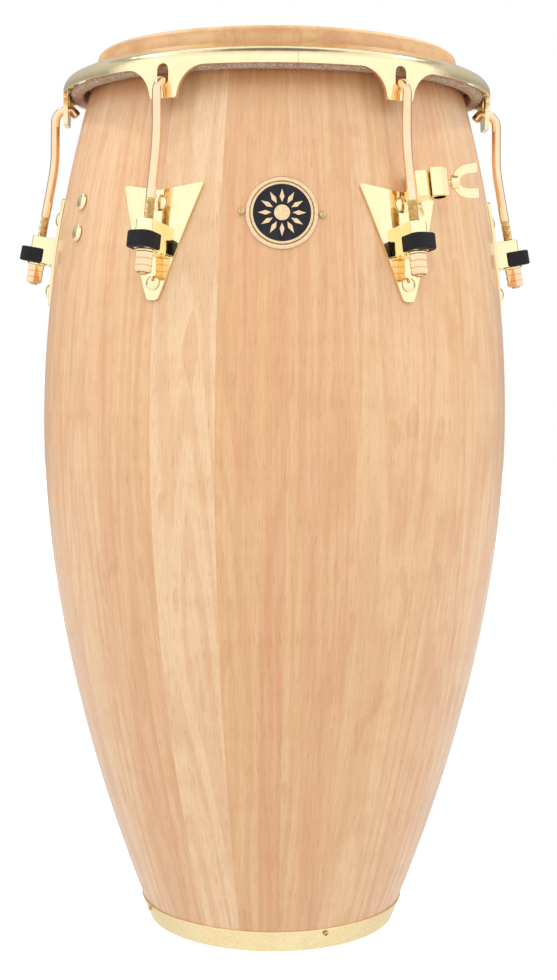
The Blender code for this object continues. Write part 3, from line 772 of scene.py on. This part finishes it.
def rubber():
    """Matte black rubber with a faint moulded grain and a little dust."""
    make = Recipe("black_rubber")
    pits = make.noise((1500, 1500, 1500), detail=2)
    dust = make.noise((260, 260, 420), detail=5, roughness=0.75)
    ground = make.over((0.006, 0.006, 0.009, 1), (0.03, 0.027, 0.03, 1), dust, 0.52, 0.74, most=0.22)
    roughness = make.band(dust, 0.35, 0.7, 0.5, 0.7)
    relief = make.bump(pits, 0.0001, 0.6)
    return make.finish(Base_Color=ground, Roughness=roughness, Normal=relief, Specular_IOR_Level=0.3)


def enamel():
    """Glossy black enamel with a few fine scratches."""
    make = Recipe("badge_enamel")
    hazes = make.noise((160, 160, 60), detail=4)
    scratches = make.noise((2200, 2200, 60), detail=1)
    ground = make.mix(make.band(hazes, 0.4, 0.7), (0.012, 0.011, 0.017, 1), (0.021, 0.019, 0.028, 1))
    hazy, scratched = make.band(hazes, 0.35, 0.7, 0.12, 0.22), make.band(scratches, 0.66, 0.72, 0.0, 0.15)
    roughness = make.math("ADD", hazy, scratched)
    return make.finish(Base_Color=ground, Roughness=roughness, Specular_IOR_Level=0.22)


def satin_gold(name, first, second):
    """A flatter, blotchy metal between two colours, for the badge, nails and foot screws; on the threads its
    darker colours are painted shade of the grooves.
    """
    make = Recipe(name)
    clouds = make.noise((300, 300, 300), detail=4, roughness=0.7)
    ground = make.mix(make.band(clouds, 0.35, 0.65), first, second)
    return make.finish(Base_Color=ground, Metallic=0.85, Roughness=make.band(clouds, 0.3, 0.7, 0.32, 0.46))


# Shell, head and rim

def shell_section():
    """(out, up) points of the shell's wall: up the outside, over its rounded edge and down the inside."""
    edge = SHELL_TOP - BEARING_EDGE
    outside = [(shell_radius(up), up) for up in spread(SHELL_BOTTOM, edge, OUTER_ROWS)]
    rim = arc((shell_radius(edge) - BEARING_EDGE, edge), BEARING_EDGE, 0, 90, 6)
    inside = [(shell_radius(up) - SHELL_WALL, up) for up in spread(SHELL_TOP, SHELL_BOTTOM, INNER_ROWS)]
    return outside + rim[1:] + inside, len(outside) + len(rim) - 2


def make_shell():
    """The shell, with attributes that give each corner its place in its stave's grain."""
    section, outside = shell_section()
    columns = STAVES * STAVE_COLUMNS
    step = 2 * math.pi / columns
    points = []
    for column in range(columns):
        turn = FIRST_SEAM + column * step
        points += [(out * math.sin(turn), -out * math.cos(turn), up) for out, up in section]
    draw = random.Random(TONE_SEED)
    tones = [draw.uniform(*OTHER_TONES) for _ in range(STAVES)]
    for stave, tone in FRONT_TONES.items():
        tones[stave] = tone
    half = STAVE_COLUMNS / 2
    faces, grain, seams, tone_of, finish = [], [], [], [], []
    for column in range(columns):
        stave, place = divmod(column, STAVE_COLUMNS)
        for row in range(len(section)):
            above = (row + 1) % len(section)
            corners = [(place, row), (place + 1, row), (place + 1, above), (place, above)]
            faces.append([(stave * STAVE_COLUMNS + x) % columns * len(section) + y for x, y in corners])
            finish.append(0 if row < outside else 1)
            for x, y in corners:
                out, up = section[y]
                across = (x - half) * step * out
                grain += [across, up, stave]
                seams.append(half * step * out - abs(across))
                tone_of.append(tones[stave])
    data = bpy.data.meshes.new("stave_shell")
    data.from_pydata(points, [], faces)
    data.attributes.new("grain", "FLOAT_VECTOR", "CORNER").data.foreach_set("vector", grain)
    for name, values in (("seam", seams), ("tone", tone_of)):
        data.attributes.new(name, "FLOAT", "CORNER").data.foreach_set("value", values)
    data.shade_smooth()
    data.set_sharp_from_angle(angle=CREASE)
    woods = [wood("lacquered_wood"), wood("raw_wood", raw=True)]
    shell = add("stave_shell", data, woods, "drum", ["shell"])
    shell.data.polygons.foreach_set("material_index", finish)


def make_skin():
    """The skin over the shell's edge, down its collar and out over the flesh hoop."""
    clear = GAP + SKIN
    edge = SHELL_TOP - BEARING_EDGE
    centre = (shell_radius(edge) - BEARING_EDGE, edge)
    top = SHELL_TOP + clear
    upper = [(0, top)] + [(out, top) for out in spread(SKIN_CENTRE, centre[0], 12)]
    upper += arc(centre, BEARING_EDGE + clear, 90, 0, 8)[1:]
    leaves = SKIN_FLARE[0][1] + SKIN_LEAVES_ABOVE
    upper += [(shell_radius(up) + clear, up) for up in spread(edge, leaves, 10)[1:]]
    path = [upper[-1]] + [corner[:2] for corner in SKIN_FLARE]
    for before, (*corner, radius), after in zip(path, SKIN_FLARE, path[2:]):
        upper += [tuple(point) for point in fillet(before, corner, after, radius, 5)]
    upper.append(path[-1])
    lower = []
    for before, place, after in zip(upper, upper[1:], upper[2:] + upper[-1:]):
        along = (Vector(after) - Vector(before)).normalized()
        lower.append((place[0] + along.y * SKIN, place[1] - along.x * SKIN))
    section = upper + lower[::-1] + [(0, top - SKIN)]
    head = add("skin_head", meshed("skin_head", turned(section)), [skin()], None, ["drum_head"])
    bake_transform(head)


def make_hoop():
    """The flesh hoop in its roll of rawhide, a little lumpy."""
    mesh = turned(rounded(HOOP_SECTION, 7), 2 * FINE)
    for vertex in mesh.verts:
        lump = sum(share * noise.noise(vertex.co * fineness) for fineness, share in HOOP_LUMPS)
        out = Vector((vertex.co.x, vertex.co.y, 0))
        vertex.co += out.normalized() * lump * HOOP_ROUGHNESS + Vector((0, 0, lump * HOOP_ROUGHNESS))
    add("hide_hoop", meshed("hide_hoop", mesh), [rawhide()], "rim", ["flesh_hoop"])


def ear_columns():
    """(side, lower edge, slot's lower edge, slot's upper edge) from an ear's middle to the plain band."""
    columns = []
    for turn in spread(0, 90, 7):
        side = SLOT_HALF * math.sin(math.radians(turn))
        reach = SLOT_HALF * math.cos(math.radians(turn))
        columns.append((side, EAR_BOTTOM, SLOT_LOW - reach, SLOT_HIGH + reach))
    flat_to = EAR_HALF - EAR_TAPER - EAR_CORNER
    lows = [(SLOT_HALF + (flat_to - SLOT_HALF) * share, EAR_BOTTOM) for share in (0.33, 0.67, 1)]
    lows += arc((flat_to, EAR_BOTTOM + EAR_CORNER), EAR_CORNER, 270, 350, 4)[1:]
    for turn in spread(0, 90, 18):
        share = math.sin(math.radians(turn))
        flare = (EAR_FLARE - EAR_HALF - EAR_SLANT) * (1 - math.cos(math.radians(turn)))
        low = EAR_SHOULDER + (BAND_BOTTOM - EAR_SHOULDER) * share
        lows.append((EAR_HALF + EAR_SLANT * share + flare, low))
    for side, low in lows:
        share = min(1, (side - SLOT_HALF) / (EAR_HALF - SLOT_HALF))
        slot_low = SLOT_LOW + (low + (BAND_TOP - low) * SLOT_LOW_LINE - SLOT_LOW) * share
        slot_high = SLOT_HIGH + (low + (BAND_TOP - low) * SLOT_HIGH_LINE - SLOT_HIGH) * share
        columns.append((side, low, slot_low, slot_high))
    return columns


def make_rim():
    """The rim: a sloped crown over a band, with six slotted ears."""
    crown = rounded(RIM_CROWN + ((RIM_INNER, BAND_BOTTOM, 0), (RIM_OUTER, BAND_BOTTOM, 0)), 9)[:-2]
    half_ear = ear_columns()
    ear = [(-side, *rest) for side, *rest in reversed(half_ear[1:])] + half_ear
    edge = math.degrees(half_ear[-1][0] / RIM_OUTER)
    columns = []
    for angle in map(lug_angle, LUGS):
        for side, *heights in ear:
            columns.append((angle + math.degrees(side / RIM_OUTER), abs(side) <= SLOT_HALF + 1e-9, *heights))
        for turn in spread(angle + edge, angle + 60 - edge, 20)[1:-1]:
            columns.append((turn, False, *half_ear[-1][1:]))
    mesh = bmesh.new()
    loops = []
    for angle, _, low, slot_low, slot_high in columns:
        outline = [(RIM_OUTER, low), (RIM_OUTER, slot_low), (RIM_OUTER, slot_high)] + crown
        outline += [(RIM_INNER, slot_high), (RIM_INNER, slot_low), (RIM_INNER, low)]
        turn = turn_about_drum(angle)
        loops.append([mesh.verts.new(turn @ lug_point(out, 0, up)) for out, up in outline])
    count = len(loops[0])
    inner_high = count - 3
    for index, (first, second) in enumerate(zip(loops, loops[1:] + loops[:1])):
        open_here = columns[index][1] and columns[(index + 1) % len(columns)][1]
        for row in range(count):
            if not (open_here and row in (1, inner_high)):
                above = (row + 1) % count
                mesh.faces.new([first[row], second[row], second[above], first[above]])
        if open_here:
            for outer, inner in ((1, inner_high + 1), (2, inner_high)):
                mesh.faces.new([first[outer], second[outer], second[inner], first[inner]])
        if columns[index][1] and not (open_here and columns[index - 1][1]):
            mesh.faces.new([first[1], first[2], first[inner_high], first[inner_high + 1]])
    data = meshed("crown_rim", mesh, bevel=RIM_EDGE)
    add("crown_rim", data, [gold("rim_gold", wear=0.7, weld=True)], "rim", ["rim"])


# Lugs

def rod_mesh(to_lug):
    """The hooked rod, with a cut thread along its lower part."""
    bend_up = THREAD_UP + (THREAD_OUT - ROD_OUT) / math.tan(THREAD_TILT)
    start = (THREAD_OUT - THREAD_TO * math.sin(THREAD_TILT), THREAD_UP + THREAD_TO * math.cos(THREAD_TILT))
    corners = [HOOK_TIP, (HOOK_CORNER, HOOK_UP), (ROD_OUT, HOOK_UP), (ROD_OUT, bend_up), start]
    bent = [Vector(corners[0])]
    for before, corner, after, radius in zip(corners, corners[1:], corners[2:], HOOK_BENDS):
        bent += fillet(before, corner, after, radius, 14)
    path = [to_lug @ lug_point(out, 0, up) for out, up in bent]
    radii = [ROD_RADIUS] * len(path)
    inward = (path[1] - path[0]).normalized()
    path = [path[0], path[0] + inward * ROD_TIP_EDGE] + path[1:]
    radii = [ROD_RADIUS - ROD_CHAMFER, ROD_RADIUS] + radii[1:]
    for up in spread(THREAD_TO, THREAD_FROM, round((THREAD_TO - THREAD_FROM) / PITCH * THREAD_STEPS)):
        path.append(Vector((0, 0, up)))
        fade = min(1, (THREAD_TO - up) / PITCH)
        radii.append(lambda turn, up=up, fade=fade: thread_radius(up, turn, fade))
    ends = ((THREAD_FROM - THREAD_RUN_OUT, ROD_CORE), (ROD_END + ROD_CHAMFER, ROD_CORE), (ROD_END, ROD_POINT))
    for up, share in ends:
        path.append(Vector((0, 0, up)))
        radii.append(share * ROD_RADIUS)
    return drawn_through(path, radii, ROD_SIDES)


def thread_radius(up, turn, fade):
    """The rod's radius at a height and a turn round it: a V thread with flattened crests and roots."""
    phase = (up / PITCH - turn / (2 * math.pi)) % 1
    height = min(1.0, max(0.0, THREAD_SLOPE * abs(2 * phase - 1) - THREAD_FLAT))
    return ROD_RADIUS - THREAD_DEPTH * fade * (1 - height)


def front_outline(half, front, back, corner, steps=6):
    """An outline that is square at the back and rounded in front, which is at -Y."""
    outline = [(-half, back)] + arc((corner - half, corner - front), corner, 180, 270, steps)
    return outline + arc((half - corner, corner - front), corner, 270, 360, steps) + [(half, back)]


def bracket_mesh():
    outer = front_outline(BRACKET_HALF, BRACKET_FRONT, BRACKET_BACK, BRACKET_CORNER)
    inner = front_outline(BRACKET_HALF - BRACKET_WALL, BRACKET_FRONT - BRACKET_WALL, BRACKET_BACK, 0.001)
    return meshed("bracket", prism(outer + inner[::-1], 0, BRACKET_HEIGHT), bevel=0.0005)


def bead_mesh():
    """The weld bead under the bracket, where it meets the plate."""
    along = Matrix.Translation((0, *BEAD_AT)) @ quarter_turn("Y")
    half = BRACKET_HALF
    outline = [(0, -half)] + arc((0, BEAD_RADIUS - half), BEAD_RADIUS, -60, 0, 4)
    outline += arc((0, half - BEAD_RADIUS), BEAD_RADIUS, 0, 60, 4) + [(0, half)]
    return meshed("weld_bead", turned(outline, 24, along))


def rubber_mesh():
    outer = front_outline(RUBBER_HALF, RUBBER_FRONT, RUBBER_BACK, RUBBER_CORNER, 10)
    inner = front_outline(BRACKET_HALF + GAP / 2, BRACKET_FRONT + GAP / 2, RUBBER_BACK, BRACKET_CORNER)
    return meshed("rubber", prism(outer + inner[::-1], 0, RUBBER_HEIGHT), bevel=0.0012, steps=4)


def hexagon(half, up, corner, steps=5):
    reach = half / math.cos(math.radians(30))
    corners = [(*arc((0, 0), reach, 60 * k, 60 * k, 1)[0], corner) for k in range(6)]
    return [Vector((x, y, up)) for x, y in rounded(corners, steps)]


def nut_mesh():
    """A barrel nut: a long hexagon with two grooves, chamfered below, and its bore."""
    heights = [(NUT_TOP - down, scale) for down, scale in NUT_HEAD]
    for groove in NUT_GROOVES:
        heights += [(groove + NUT_GROOVE_HALF, 1), (groove, NUT_GROOVED), (groove - NUT_GROOVE_HALF, 1)]
    heights += [(NUT_BOTTOM + up, scale) for up, scale in NUT_FOOT]
    loops = [hexagon(NUT_HALF * scale, up, NUT_CORNER) for up, scale in heights]
    count = len(loops[0])
    for up in (NUT_BOTTOM, NUT_TOP):
        loops.append(circle(BORE_RADIUS, up, count, quarter_turn("Z")))
    return meshed("barrel_nut", lofted(loops, wrap=True), bevel=0.00015)


def washer_mesh():
    high, low = -GAP, -GAP - WASHER_THICK
    corners = [(WASHER_RADIUS, up, WASHER_CORNER) for up in (low, high)]
    corners += [(BORE_RADIUS, up, WASHER_BORE_CORNER) for up in (high, low)]
    return meshed("lug_washer", turned(rounded(corners, 4), 48))


def plate_mesh():
    """The shield-shaped side plate, which follows the shell."""
    corners = (
        (-PLATE_TIP_HALF, PLATE_TIP, PLATE_TIP_CORNER), (PLATE_TIP_HALF, PLATE_TIP, PLATE_TIP_CORNER),
        (PLATE_HALF, PLATE_TOP, PLATE_TOP_CORNER), (0, PLATE_DIP, PLATE_DIP_CORNER),
        (-PLATE_HALF, PLATE_TOP, PLATE_TOP_CORNER),
    )
    drawn = laid_on_shell(rounded(corners, 8), GAP, GAP + PLATE_THICK, PLATE_COLUMNS, PLATE_ROWS)
    return meshed("side_plate", drawn, bevel=0.0004)


def dome(head, height, seat, shank, end, dimple=0.0):
    """(radius, height) points of a domed fastener, from the top of its head to the end of its shank."""
    outline = [(0, seat + height - dimple)]
    if dimple:
        outline += [(share * head, seat + height - deep * dimple) for share, deep in DIMPLE_SIDES]
    first = 65 if dimple else 80
    for turn in spread(first, 0, 9):
        angle = math.radians(turn)
        rise = DOME_SIDE + (1 - DOME_SIDE) * math.sin(angle)
        outline.append((head * math.cos(angle), seat + rise * height))
    return outline + [(head, seat), (shank, seat), (shank, SHANK_POINT * end), (0, end)]


def make_lugs():
    plated, black = gold("gold_plate"), rubber()
    warm = gold("rod_plate", colours=PLATED_ROD)
    # painted shade: the threaded faces get a darker, more amber gold that stands in for the shade and
    # inter-reflection in the thread's grooves
    painted_thread_shade = satin_gold("thread_gold_painted_shade", (0.6, 0.4, 0.17, 1), (0.9, 0.67, 0.34, 1))
    to_lug = front_thread_frame().inverted()
    rod = meshed("rod", rod_mesh(to_lug))
    painted_shade_faces = [1 if face.center.z < THREAD_TO + 0.0002 else 0 for face in rod.polygons]
    shared = {
        "hooked_rod": (rod, warm, "gold_plate", "lug_rod_{}", ["lug_rod_{}"]),
        "plate": (plate_mesh(), plated, "gold_plate", "drum", ["side_plate_{}"]),
        "bracket": (bracket_mesh(), plated, "gold_plate", "drum", []),
        "weld_bead": (bead_mesh(), plated, "gold_plate", "drum", []),
        "rubber_block": (rubber_mesh(), black, "black_rubber", "drum", ["shell_protector_{}"]),
        "lug_washer": (washer_mesh(), plated, "gold_plate", "drum", ["washer_{}"]),
        "barrel_nut": (nut_mesh(), warm, "gold_plate", "tuning_nut_{}", ["tuning_nut_{}"]),
    }
    shared["plate"][0].transform(to_lug)
    bolts = {}
    for name, (height, radius) in PLATE_BOLTS.items():
        head = dome(radius, BOLT_DOME, PLATE_THICK + 2 * GAP, BOLT_SHANK, BOLT_END)
        bolts[name] = height, meshed("plate_bolt", turned(head, 40))
    for number in LUGS:
        place = lug_frame(number)
        for name, (data, material, slot, body, nodes) in shared.items():
            stands_for = [node.format(number) for node in nodes]
            made = add(f"{name}_{number}", data, [material], body.format(number), stands_for, place)
            if name == "hooked_rod":
                made.data.materials.append(painted_thread_shade)
                made.data.polygons.foreach_set("material_index", painted_shade_faces)
        for name, (height, bolt) in bolts.items():
            add(f"{name}_bolt_{number}", bolt, [plated], "drum",
                [f"{name}_plate_bolt_{number}"], bolt_frame(lug_angle(number), height))


def make_side_bolts():
    plated = gold("bolt_gold")
    head = dome(SIDE_BOLT_HEAD, BOLT_DOME, 2 * GAP, BOLT_SHANK, BOLT_END)
    bolt = meshed("side_bolt", turned(head, 48))
    for name, height in SIDE_BOLTS.items():
        add(f"{name}_shell_bolt", bolt, [plated], "drum", [f"{name}_side_bolt"],
            bolt_frame(SIDE_BOLT_ANGLE, height))


def make_inner_fittings():
    """The washer and nut on the inner end of each bolt, inside the shell."""
    places = [(SIDE_BOLT_ANGLE, height) for height in SIDE_BOLTS.values()]
    for angle in map(lug_angle, LUGS):
        places += [(angle, height) for height, _ in PLATE_BOLTS.values()]
    washers, nuts = bmesh.new(), bmesh.new()
    wall = -SHELL_WALL - GAP
    radius, thick = INNER_WASHER
    half, high = INNER_NUT
    section = ((radius, wall - thick), (radius, wall), (BOLT_SHANK, wall), (BOLT_SHANK, wall - thick))
    seat = wall - thick - GAP
    chamfered = ((INNER_NUT_END, 0.0), (1.0, INNER_NUT_CHAMFER))
    chamfered += ((1.0, high - INNER_NUT_CHAMFER), (INNER_NUT_END, high))
    for place in places:
        at = bolt_frame(*place)
        lofted([circle(reach, up, 32, at) for reach, up in section], wrap=True, tube=washers)
        sides = []
        for scale, up in chamfered:
            sides.append([at @ point for point in hexagon(half * scale, seat - up, INNER_NUT_CORNER, 3)])
        for up in (high, 0.0):
            sides.append(circle(BOLT_SHANK, seat - up, len(sides[0]), at @ quarter_turn("Z")))
        lofted(sides, wrap=True, tube=nuts)
    steel = gold("inner_gold", wear=1.0)
    add("inner_washers", meshed("inner_washers", washers), [steel], "drum")
    add("inner_nuts", meshed("inner_nuts", nuts), [steel], "drum")


# Badge and foot band

def disc_on_shell(radii, outs, count=96):
    """A turned disc bent to the shell, from the radii and distances of its section's points."""
    loops = []
    for radius, out in zip(radii, outs):
        if radius == 0:
            loops.append([on_shell(0, BADGE_HEIGHT, out)])
            continue
        ring = arc((0, 0), radius, 0, 360, count)[:-1]
        loops.append([on_shell(x, BADGE_HEIGHT + y, out) for x, y in ring])
    return lofted(loops, wrap=radii[0] > 0)


def make_badge():
    """A black enamel disc with gilt rings and a plain sun, in a satin border, and its two nails."""
    face = GAP + BADGE_THICK
    line, ring, black = BADGE_RINGS["border"], BADGE_RINGS["line"], BADGE_RINGS["inner ring"]
    radii = spread(0, black, 8)
    disc = disc_on_shell(radii + [black, 0], [face] * 9 + [GAP, GAP])
    add("badge_disc", meshed("badge_disc", disc), [enamel()], "drum", ["badge"])
    tarnished = satin_gold("nail_gold", (0.5, 0.36, 0.16, 1), (0.92, 0.74, 0.43, 1))
    border = (
        (line, GAP), (line, face), (line + 0.0004, face + 0.0004),
        (BADGE_RADIUS - 0.0008, face + 0.0004), (BADGE_RADIUS, face - 0.0003), (BADGE_RADIUS, GAP),
    )
    trim = (
        (black, GAP), (black, face + 0.0002), (black + 0.0003, face + 0.0003),
        (ring - 0.0003, face + 0.0003), (ring, face + 0.0001), (ring, GAP),
    )
    groove = ((ring, GAP), (ring, face), (line, face), (line, GAP))
    gilt = satin_gold("badge_gilt", (0.78, 0.57, 0.32, 1), (0.88, 0.68, 0.41, 1))
    brown = satin_gold("badge_brown", (0.13, 0.06, 0.02, 1), (0.24, 0.13, 0.05, 1))
    worn = satin_gold("badge_border", (0.8, 0.56, 0.34, 1), (0.9, 0.68, 0.44, 1))
    rings = {"badge_border": (border, worn), "badge_ring": (trim, gilt), "badge_groove": (groove, brown)}
    for name, (section, material) in rings.items():
        data = meshed(name, disc_on_shell(*zip(*section)))
        add(name, data, [material], "drum")
    sun = bmesh.new()
    left, right = (-SUN_RAY_HALF, SUN_RAY_WIDEST), (SUN_RAY_HALF, SUN_RAY_WIDEST)
    kite = ((0, SUN_RAY_FROM), right, (0, SUN_RAY_TO), left)
    for number in range(SUN_RAYS):
        turn = Matrix.Rotation(2 * math.pi * number / SUN_RAYS, 2)
        raise_on_badge(sun, [turn @ Vector(point) for point in kite], face)
    raise_on_badge(sun, [Vector(point) for point in arc((0, 0), SUN_CORE, 0, 360, 48)[:-1]], face)
    add("badge_sun", meshed("badge_sun", sun), [gilt], "drum")
    outline = dome(BADGE_PIN_HEAD, PIN_DOME, BADGE_THICK + 3 * GAP, PIN_SHANK, PIN_END, NAIL_DIMPLE)
    nail = meshed("nail", turned(outline, 32))
    for name, side in (("left", -1), ("right", 1)):
        across = side * BADGE_PIN_OUT * math.cos(BADGE_TURN)
        up = side * BADGE_PIN_OUT * math.sin(BADGE_TURN)
        place = bolt_frame(math.degrees(across / shell_radius(BADGE_HEIGHT)), BADGE_HEIGHT + up)
        add(f"{name}_nail", nail, [tarnished], "drum", [f"badge_nail_{name}"], place)


def raise_on_badge(mesh, outline, face):
    """A flat shape on the badge, standing just proud of it."""
    loops = []
    for out in (face - SUN_SUNK, face + SUN_RAISED):
        loops.append([on_shell(x, BADGE_HEIGHT + y, out) for x, y in outline])
    lofted(loops, tube=mesh)


def make_foot_band():
    """The brass band round the foot, turned in under the wood, and its screws."""
    top = BAND_HEIGHT
    out = GAP + BAND_THICK
    section = [(shell_radius(top), top), (shell_radius(top) + out - HEM_RADIUS, top)]
    section += [(shell_radius(up) + out, up) for up in spread(top - HEM_RADIUS, 2 * HEM_RADIUS, 12)]
    centre = (shell_radius(HEM_RADIUS) + out - HEM_RADIUS, HEM_RADIUS)
    section += arc(centre, HEM_RADIUS, 0, -90, 8)
    section += [(BAND_LIP_INNER, 0), (BAND_LIP_INNER, BAND_LIP_THICK)]
    section.append((shell_radius(BAND_LIP_THICK) + GAP, BAND_LIP_THICK))
    data = meshed("foot_band", turned(section, 2 * FINE))
    add("foot_band", data, [brass()], "drum", ["bottom_band"])
    outline = dome(BAND_SCREW_HEAD, PIN_DOME, BAND_THICK + 3 * GAP, PIN_SHANK, PIN_END, SCREW_DIMPLE)
    screw = meshed("screw", turned(outline, 32))
    plated = satin_gold("screw_gold", (0.42, 0.27, 0.1, 1), (0.85, 0.62, 0.3, 1))
    for number, angle in enumerate(BAND_SCREW_ANGLES, 1):
        add(f"foot_screw_{number}", screw, [plated], "drum", [f"band_screw_{number}"],
            bolt_frame(angle, BAND_SCREW_HEIGHT))


# Clamp

def make_clamp():
    """The accessory clamp: its base on the plate, a bored block, a screw and the screw's wing."""
    plated = gold("clamp_gold", wear=0.8)
    foot = shell_frame(CLAMP_ANGLE, CLAMP_UP) @ Matrix.Translation((0, -CLAMP_OFF_SHELL, 0))
    axis = foot @ Matrix.Rotation(-CLAMP_TURN, 4, "Z")
    along = quarter_turn("Y")
    base = meshed("base", prism(rounded(CLAMP_BASE), -CLAMP_BASE_HALF, CLAMP_BASE_HALF), bevel=0.0005)
    add("clamp_foot", base, [plated], "drum", ["clamp_base"], foot)
    block = prism(rounded(mirrored(CLAMP_BLOCK)), -CLAMP_BLOCK_HALF, CLAMP_BLOCK_HALF)
    bored = Matrix.Translation((CLAMP_BORE_AT, 0, 0))
    bore = lofted([circle(CLAMP_BORE, up, 40, bored) for up in (-CLAMP_BORE_END, CLAMP_BORE_END)])
    lofted([circle(CLAMP_PASSAGE, out, 32, along) for out in (CLAMP_BORE_AT, CLAMP_PASSAGE_TO)], tube=bore)
    add("clamp_body", meshed("body", block, bevel=0.0004, cut=bore), [plated], "drum",
        ["clamp_block"], axis)
    screw = meshed("screw", screw_mesh())
    add("clamp_screw", screw, [plated], "clamp_stud", ["clamp_stud"], axis)
    facing = Matrix.Rotation(WING_TURN, 4, "X") @ quarter_turn("X")
    wing = prism(rounded(mirrored(WING_SHAPE), 6), -WING_HALF_WIDTH, WING_HALF_WIDTH)
    data = meshed("wing", wing, bevel=0.0006, steps=3, frame=facing)
    add("thumb_wing", data, [plated], "clamp_wing", ["clamp_wing"], axis)
    outline = rounded((
        (WING_BOSS_HOLE, WING_BOSS_FROM, 0.0), (WING_BOSS, WING_BOSS_FROM, WING_BOSS_CORNER),
        (WING_BOSS, WING_BOSS_TO, WING_BOSS_CORNER), (WING_BOSS_HOLE, WING_BOSS_TO, 0.0)), 4)
    boss = meshed("boss", turned(outline, 48, along))
    add("thumb_boss", boss, [plated], "clamp_wing", (), axis)


def screw_mesh():
    """The clamp's screw, threaded along its whole length."""
    count = round((CLAMP_SCREW_TO - CLAMP_SCREW_FROM) / CLAMP_PITCH * THREAD_STEPS)
    loops = []
    for out in spread(CLAMP_SCREW_FROM, CLAMP_SCREW_TO, count):
        loop = []
        for step in range(ROD_SIDES):
            turn = 2 * math.pi * step / ROD_SIDES
            phase = (out / CLAMP_PITCH - turn / (2 * math.pi)) % 1
            reach = CLAMP_SCREW - CLAMP_THREAD_DEPTH * (1 - abs(2 * phase - 1))
            loop.append(Vector((out, reach * math.cos(turn), reach * math.sin(turn))))
        loops.append(loop)
    return lofted(loops)


# Room

def make_room():
    """A pale floor and a soft, bright room, which metal and lacquer mirror as a plain studio."""
    mesh = bmesh.new()
    low = Matrix.Translation((0, 0, -FLOOR_DROP))
    bmesh.ops.create_circle(mesh, cap_ends=True, radius=FLOOR_RADIUS, segments=64, matrix=low)
    data = bpy.data.meshes.new("floor")
    mesh.to_mesh(data)
    mesh.free()
    paint = Recipe("floor")
    data.materials.append(paint.finish(
        Base_Color=(0.9, 0.9, 0.9, 1), Roughness=0.9,
        Emission_Color=(1, 1, 1, 1), Emission_Strength=FLOOR_GLOW,
    ))
    floor = linked("floor", data)
    floor.visible_diffuse = False
    floor.visible_glossy = False
    make_world()
    out, back, up = TOP_LIGHT_AT
    for name, side in (("left_top_light", -1), ("right_top_light", 1)):
        lamp = bpy.data.lights.new(name, "AREA")
        lamp.shape = "DISK"
        lamp.size = TOP_LIGHT_SIZE
        lamp.energy = TOP_LIGHT_POWER
        light = linked(name, lamp)
        light.location = (side * out, back, up)
        facing = Vector((0, 0, SHELL_TOP)) - light.location
        light.rotation_euler = facing.to_track_quat("-Z", "Y").to_euler()


class Room(Nodes):
    """The world: brightness by the height and the side that a ray looks to."""

    def __init__(self):
        world = bpy.data.worlds.new("studio")
        bpy.context.scene.world = world
        world.use_nodes = True
        self.tree = world.node_tree
        self.tree.nodes.clear()
        ray = self.node("TexCoord").outputs["Generated"]
        self.parts = self.node("SeparateXYZ", {0: ray}).outputs

    def ramp(self, axis, stops):
        """Brightness by one part of the direction, from (value, brightness) stops between -1 and 1."""
        share = self.node("MapRange", {"Value": self.parts[axis], "From Min": -1}).outputs[0]
        ramp = self.node("ValToRGB", {0: share})
        elements = ramp.color_ramp.elements
        while len(elements) < len(stops):
            elements.new(1.0)
        for element, (value, brightness) in zip(elements, stops):
            element.position = (value + 1) / 2
            element.color = (brightness, brightness, brightness, 1)
        return ramp.outputs[0]

    def light(self, brightness):
        return self.node("Background", {"Color": brightness}).outputs[0]


def make_world():
    """Plain white to the eye. It lights the drum from above all round, and metal mirrors it duller behind."""
    room = Room()
    lit_by = room.light(room.ramp("Z", LIGHT_BY_HEIGHT))
    in_front = room.ramp("Z", FRONT_BY_HEIGHT)
    behind = room.ramp("Z", BACK_BY_HEIGHT)
    mirrored_room = room.light(room.mix(room.ramp("Y", BACK_BY_DEPTH), in_front, behind))
    white = room.light((1, 1, 1, 1))
    path = room.node("LightPath").outputs
    by_mirror = room.node("MixShader", {0: path["Is Glossy Ray"], 1: lit_by, 2: mirrored_room}).outputs[0]
    by_eye = room.node("MixShader", {0: path["Is Camera Ray"], 1: by_mirror, 2: white}).outputs[0]
    room.node("OutputWorld", {"Surface": by_eye})


def make_camera():
    lens = bpy.data.cameras.new("camera")
    lens.sensor_width = 36
    lens.lens = CAMERA_LENS
    lens.shift_x, lens.shift_y = CAMERA_SHIFT
    camera = linked("camera", lens)
    side, out = CAMERA_AWAY * math.sin(CAMERA_ANGLE), CAMERA_AWAY * math.cos(CAMERA_ANGLE)
    camera.location = (side, -out, CAMERA_UP)
    level = Vector((-side, out, 0)).to_track_quat("-Z", "Y").to_matrix().to_4x4()
    camera.rotation_euler = (level @ Matrix.Rotation(CAMERA_ROLL, 4, "Z")).to_euler()
    bpy.context.scene.camera = camera
    bpy.context.scene.view_settings.view_transform = "Standard"


make_camera()
make_room()
make_shell()
make_skin()
make_hoop()
make_rim()
make_lugs()
make_side_bolts()
make_inner_fittings()
make_badge()
make_foot_band()
make_clamp()
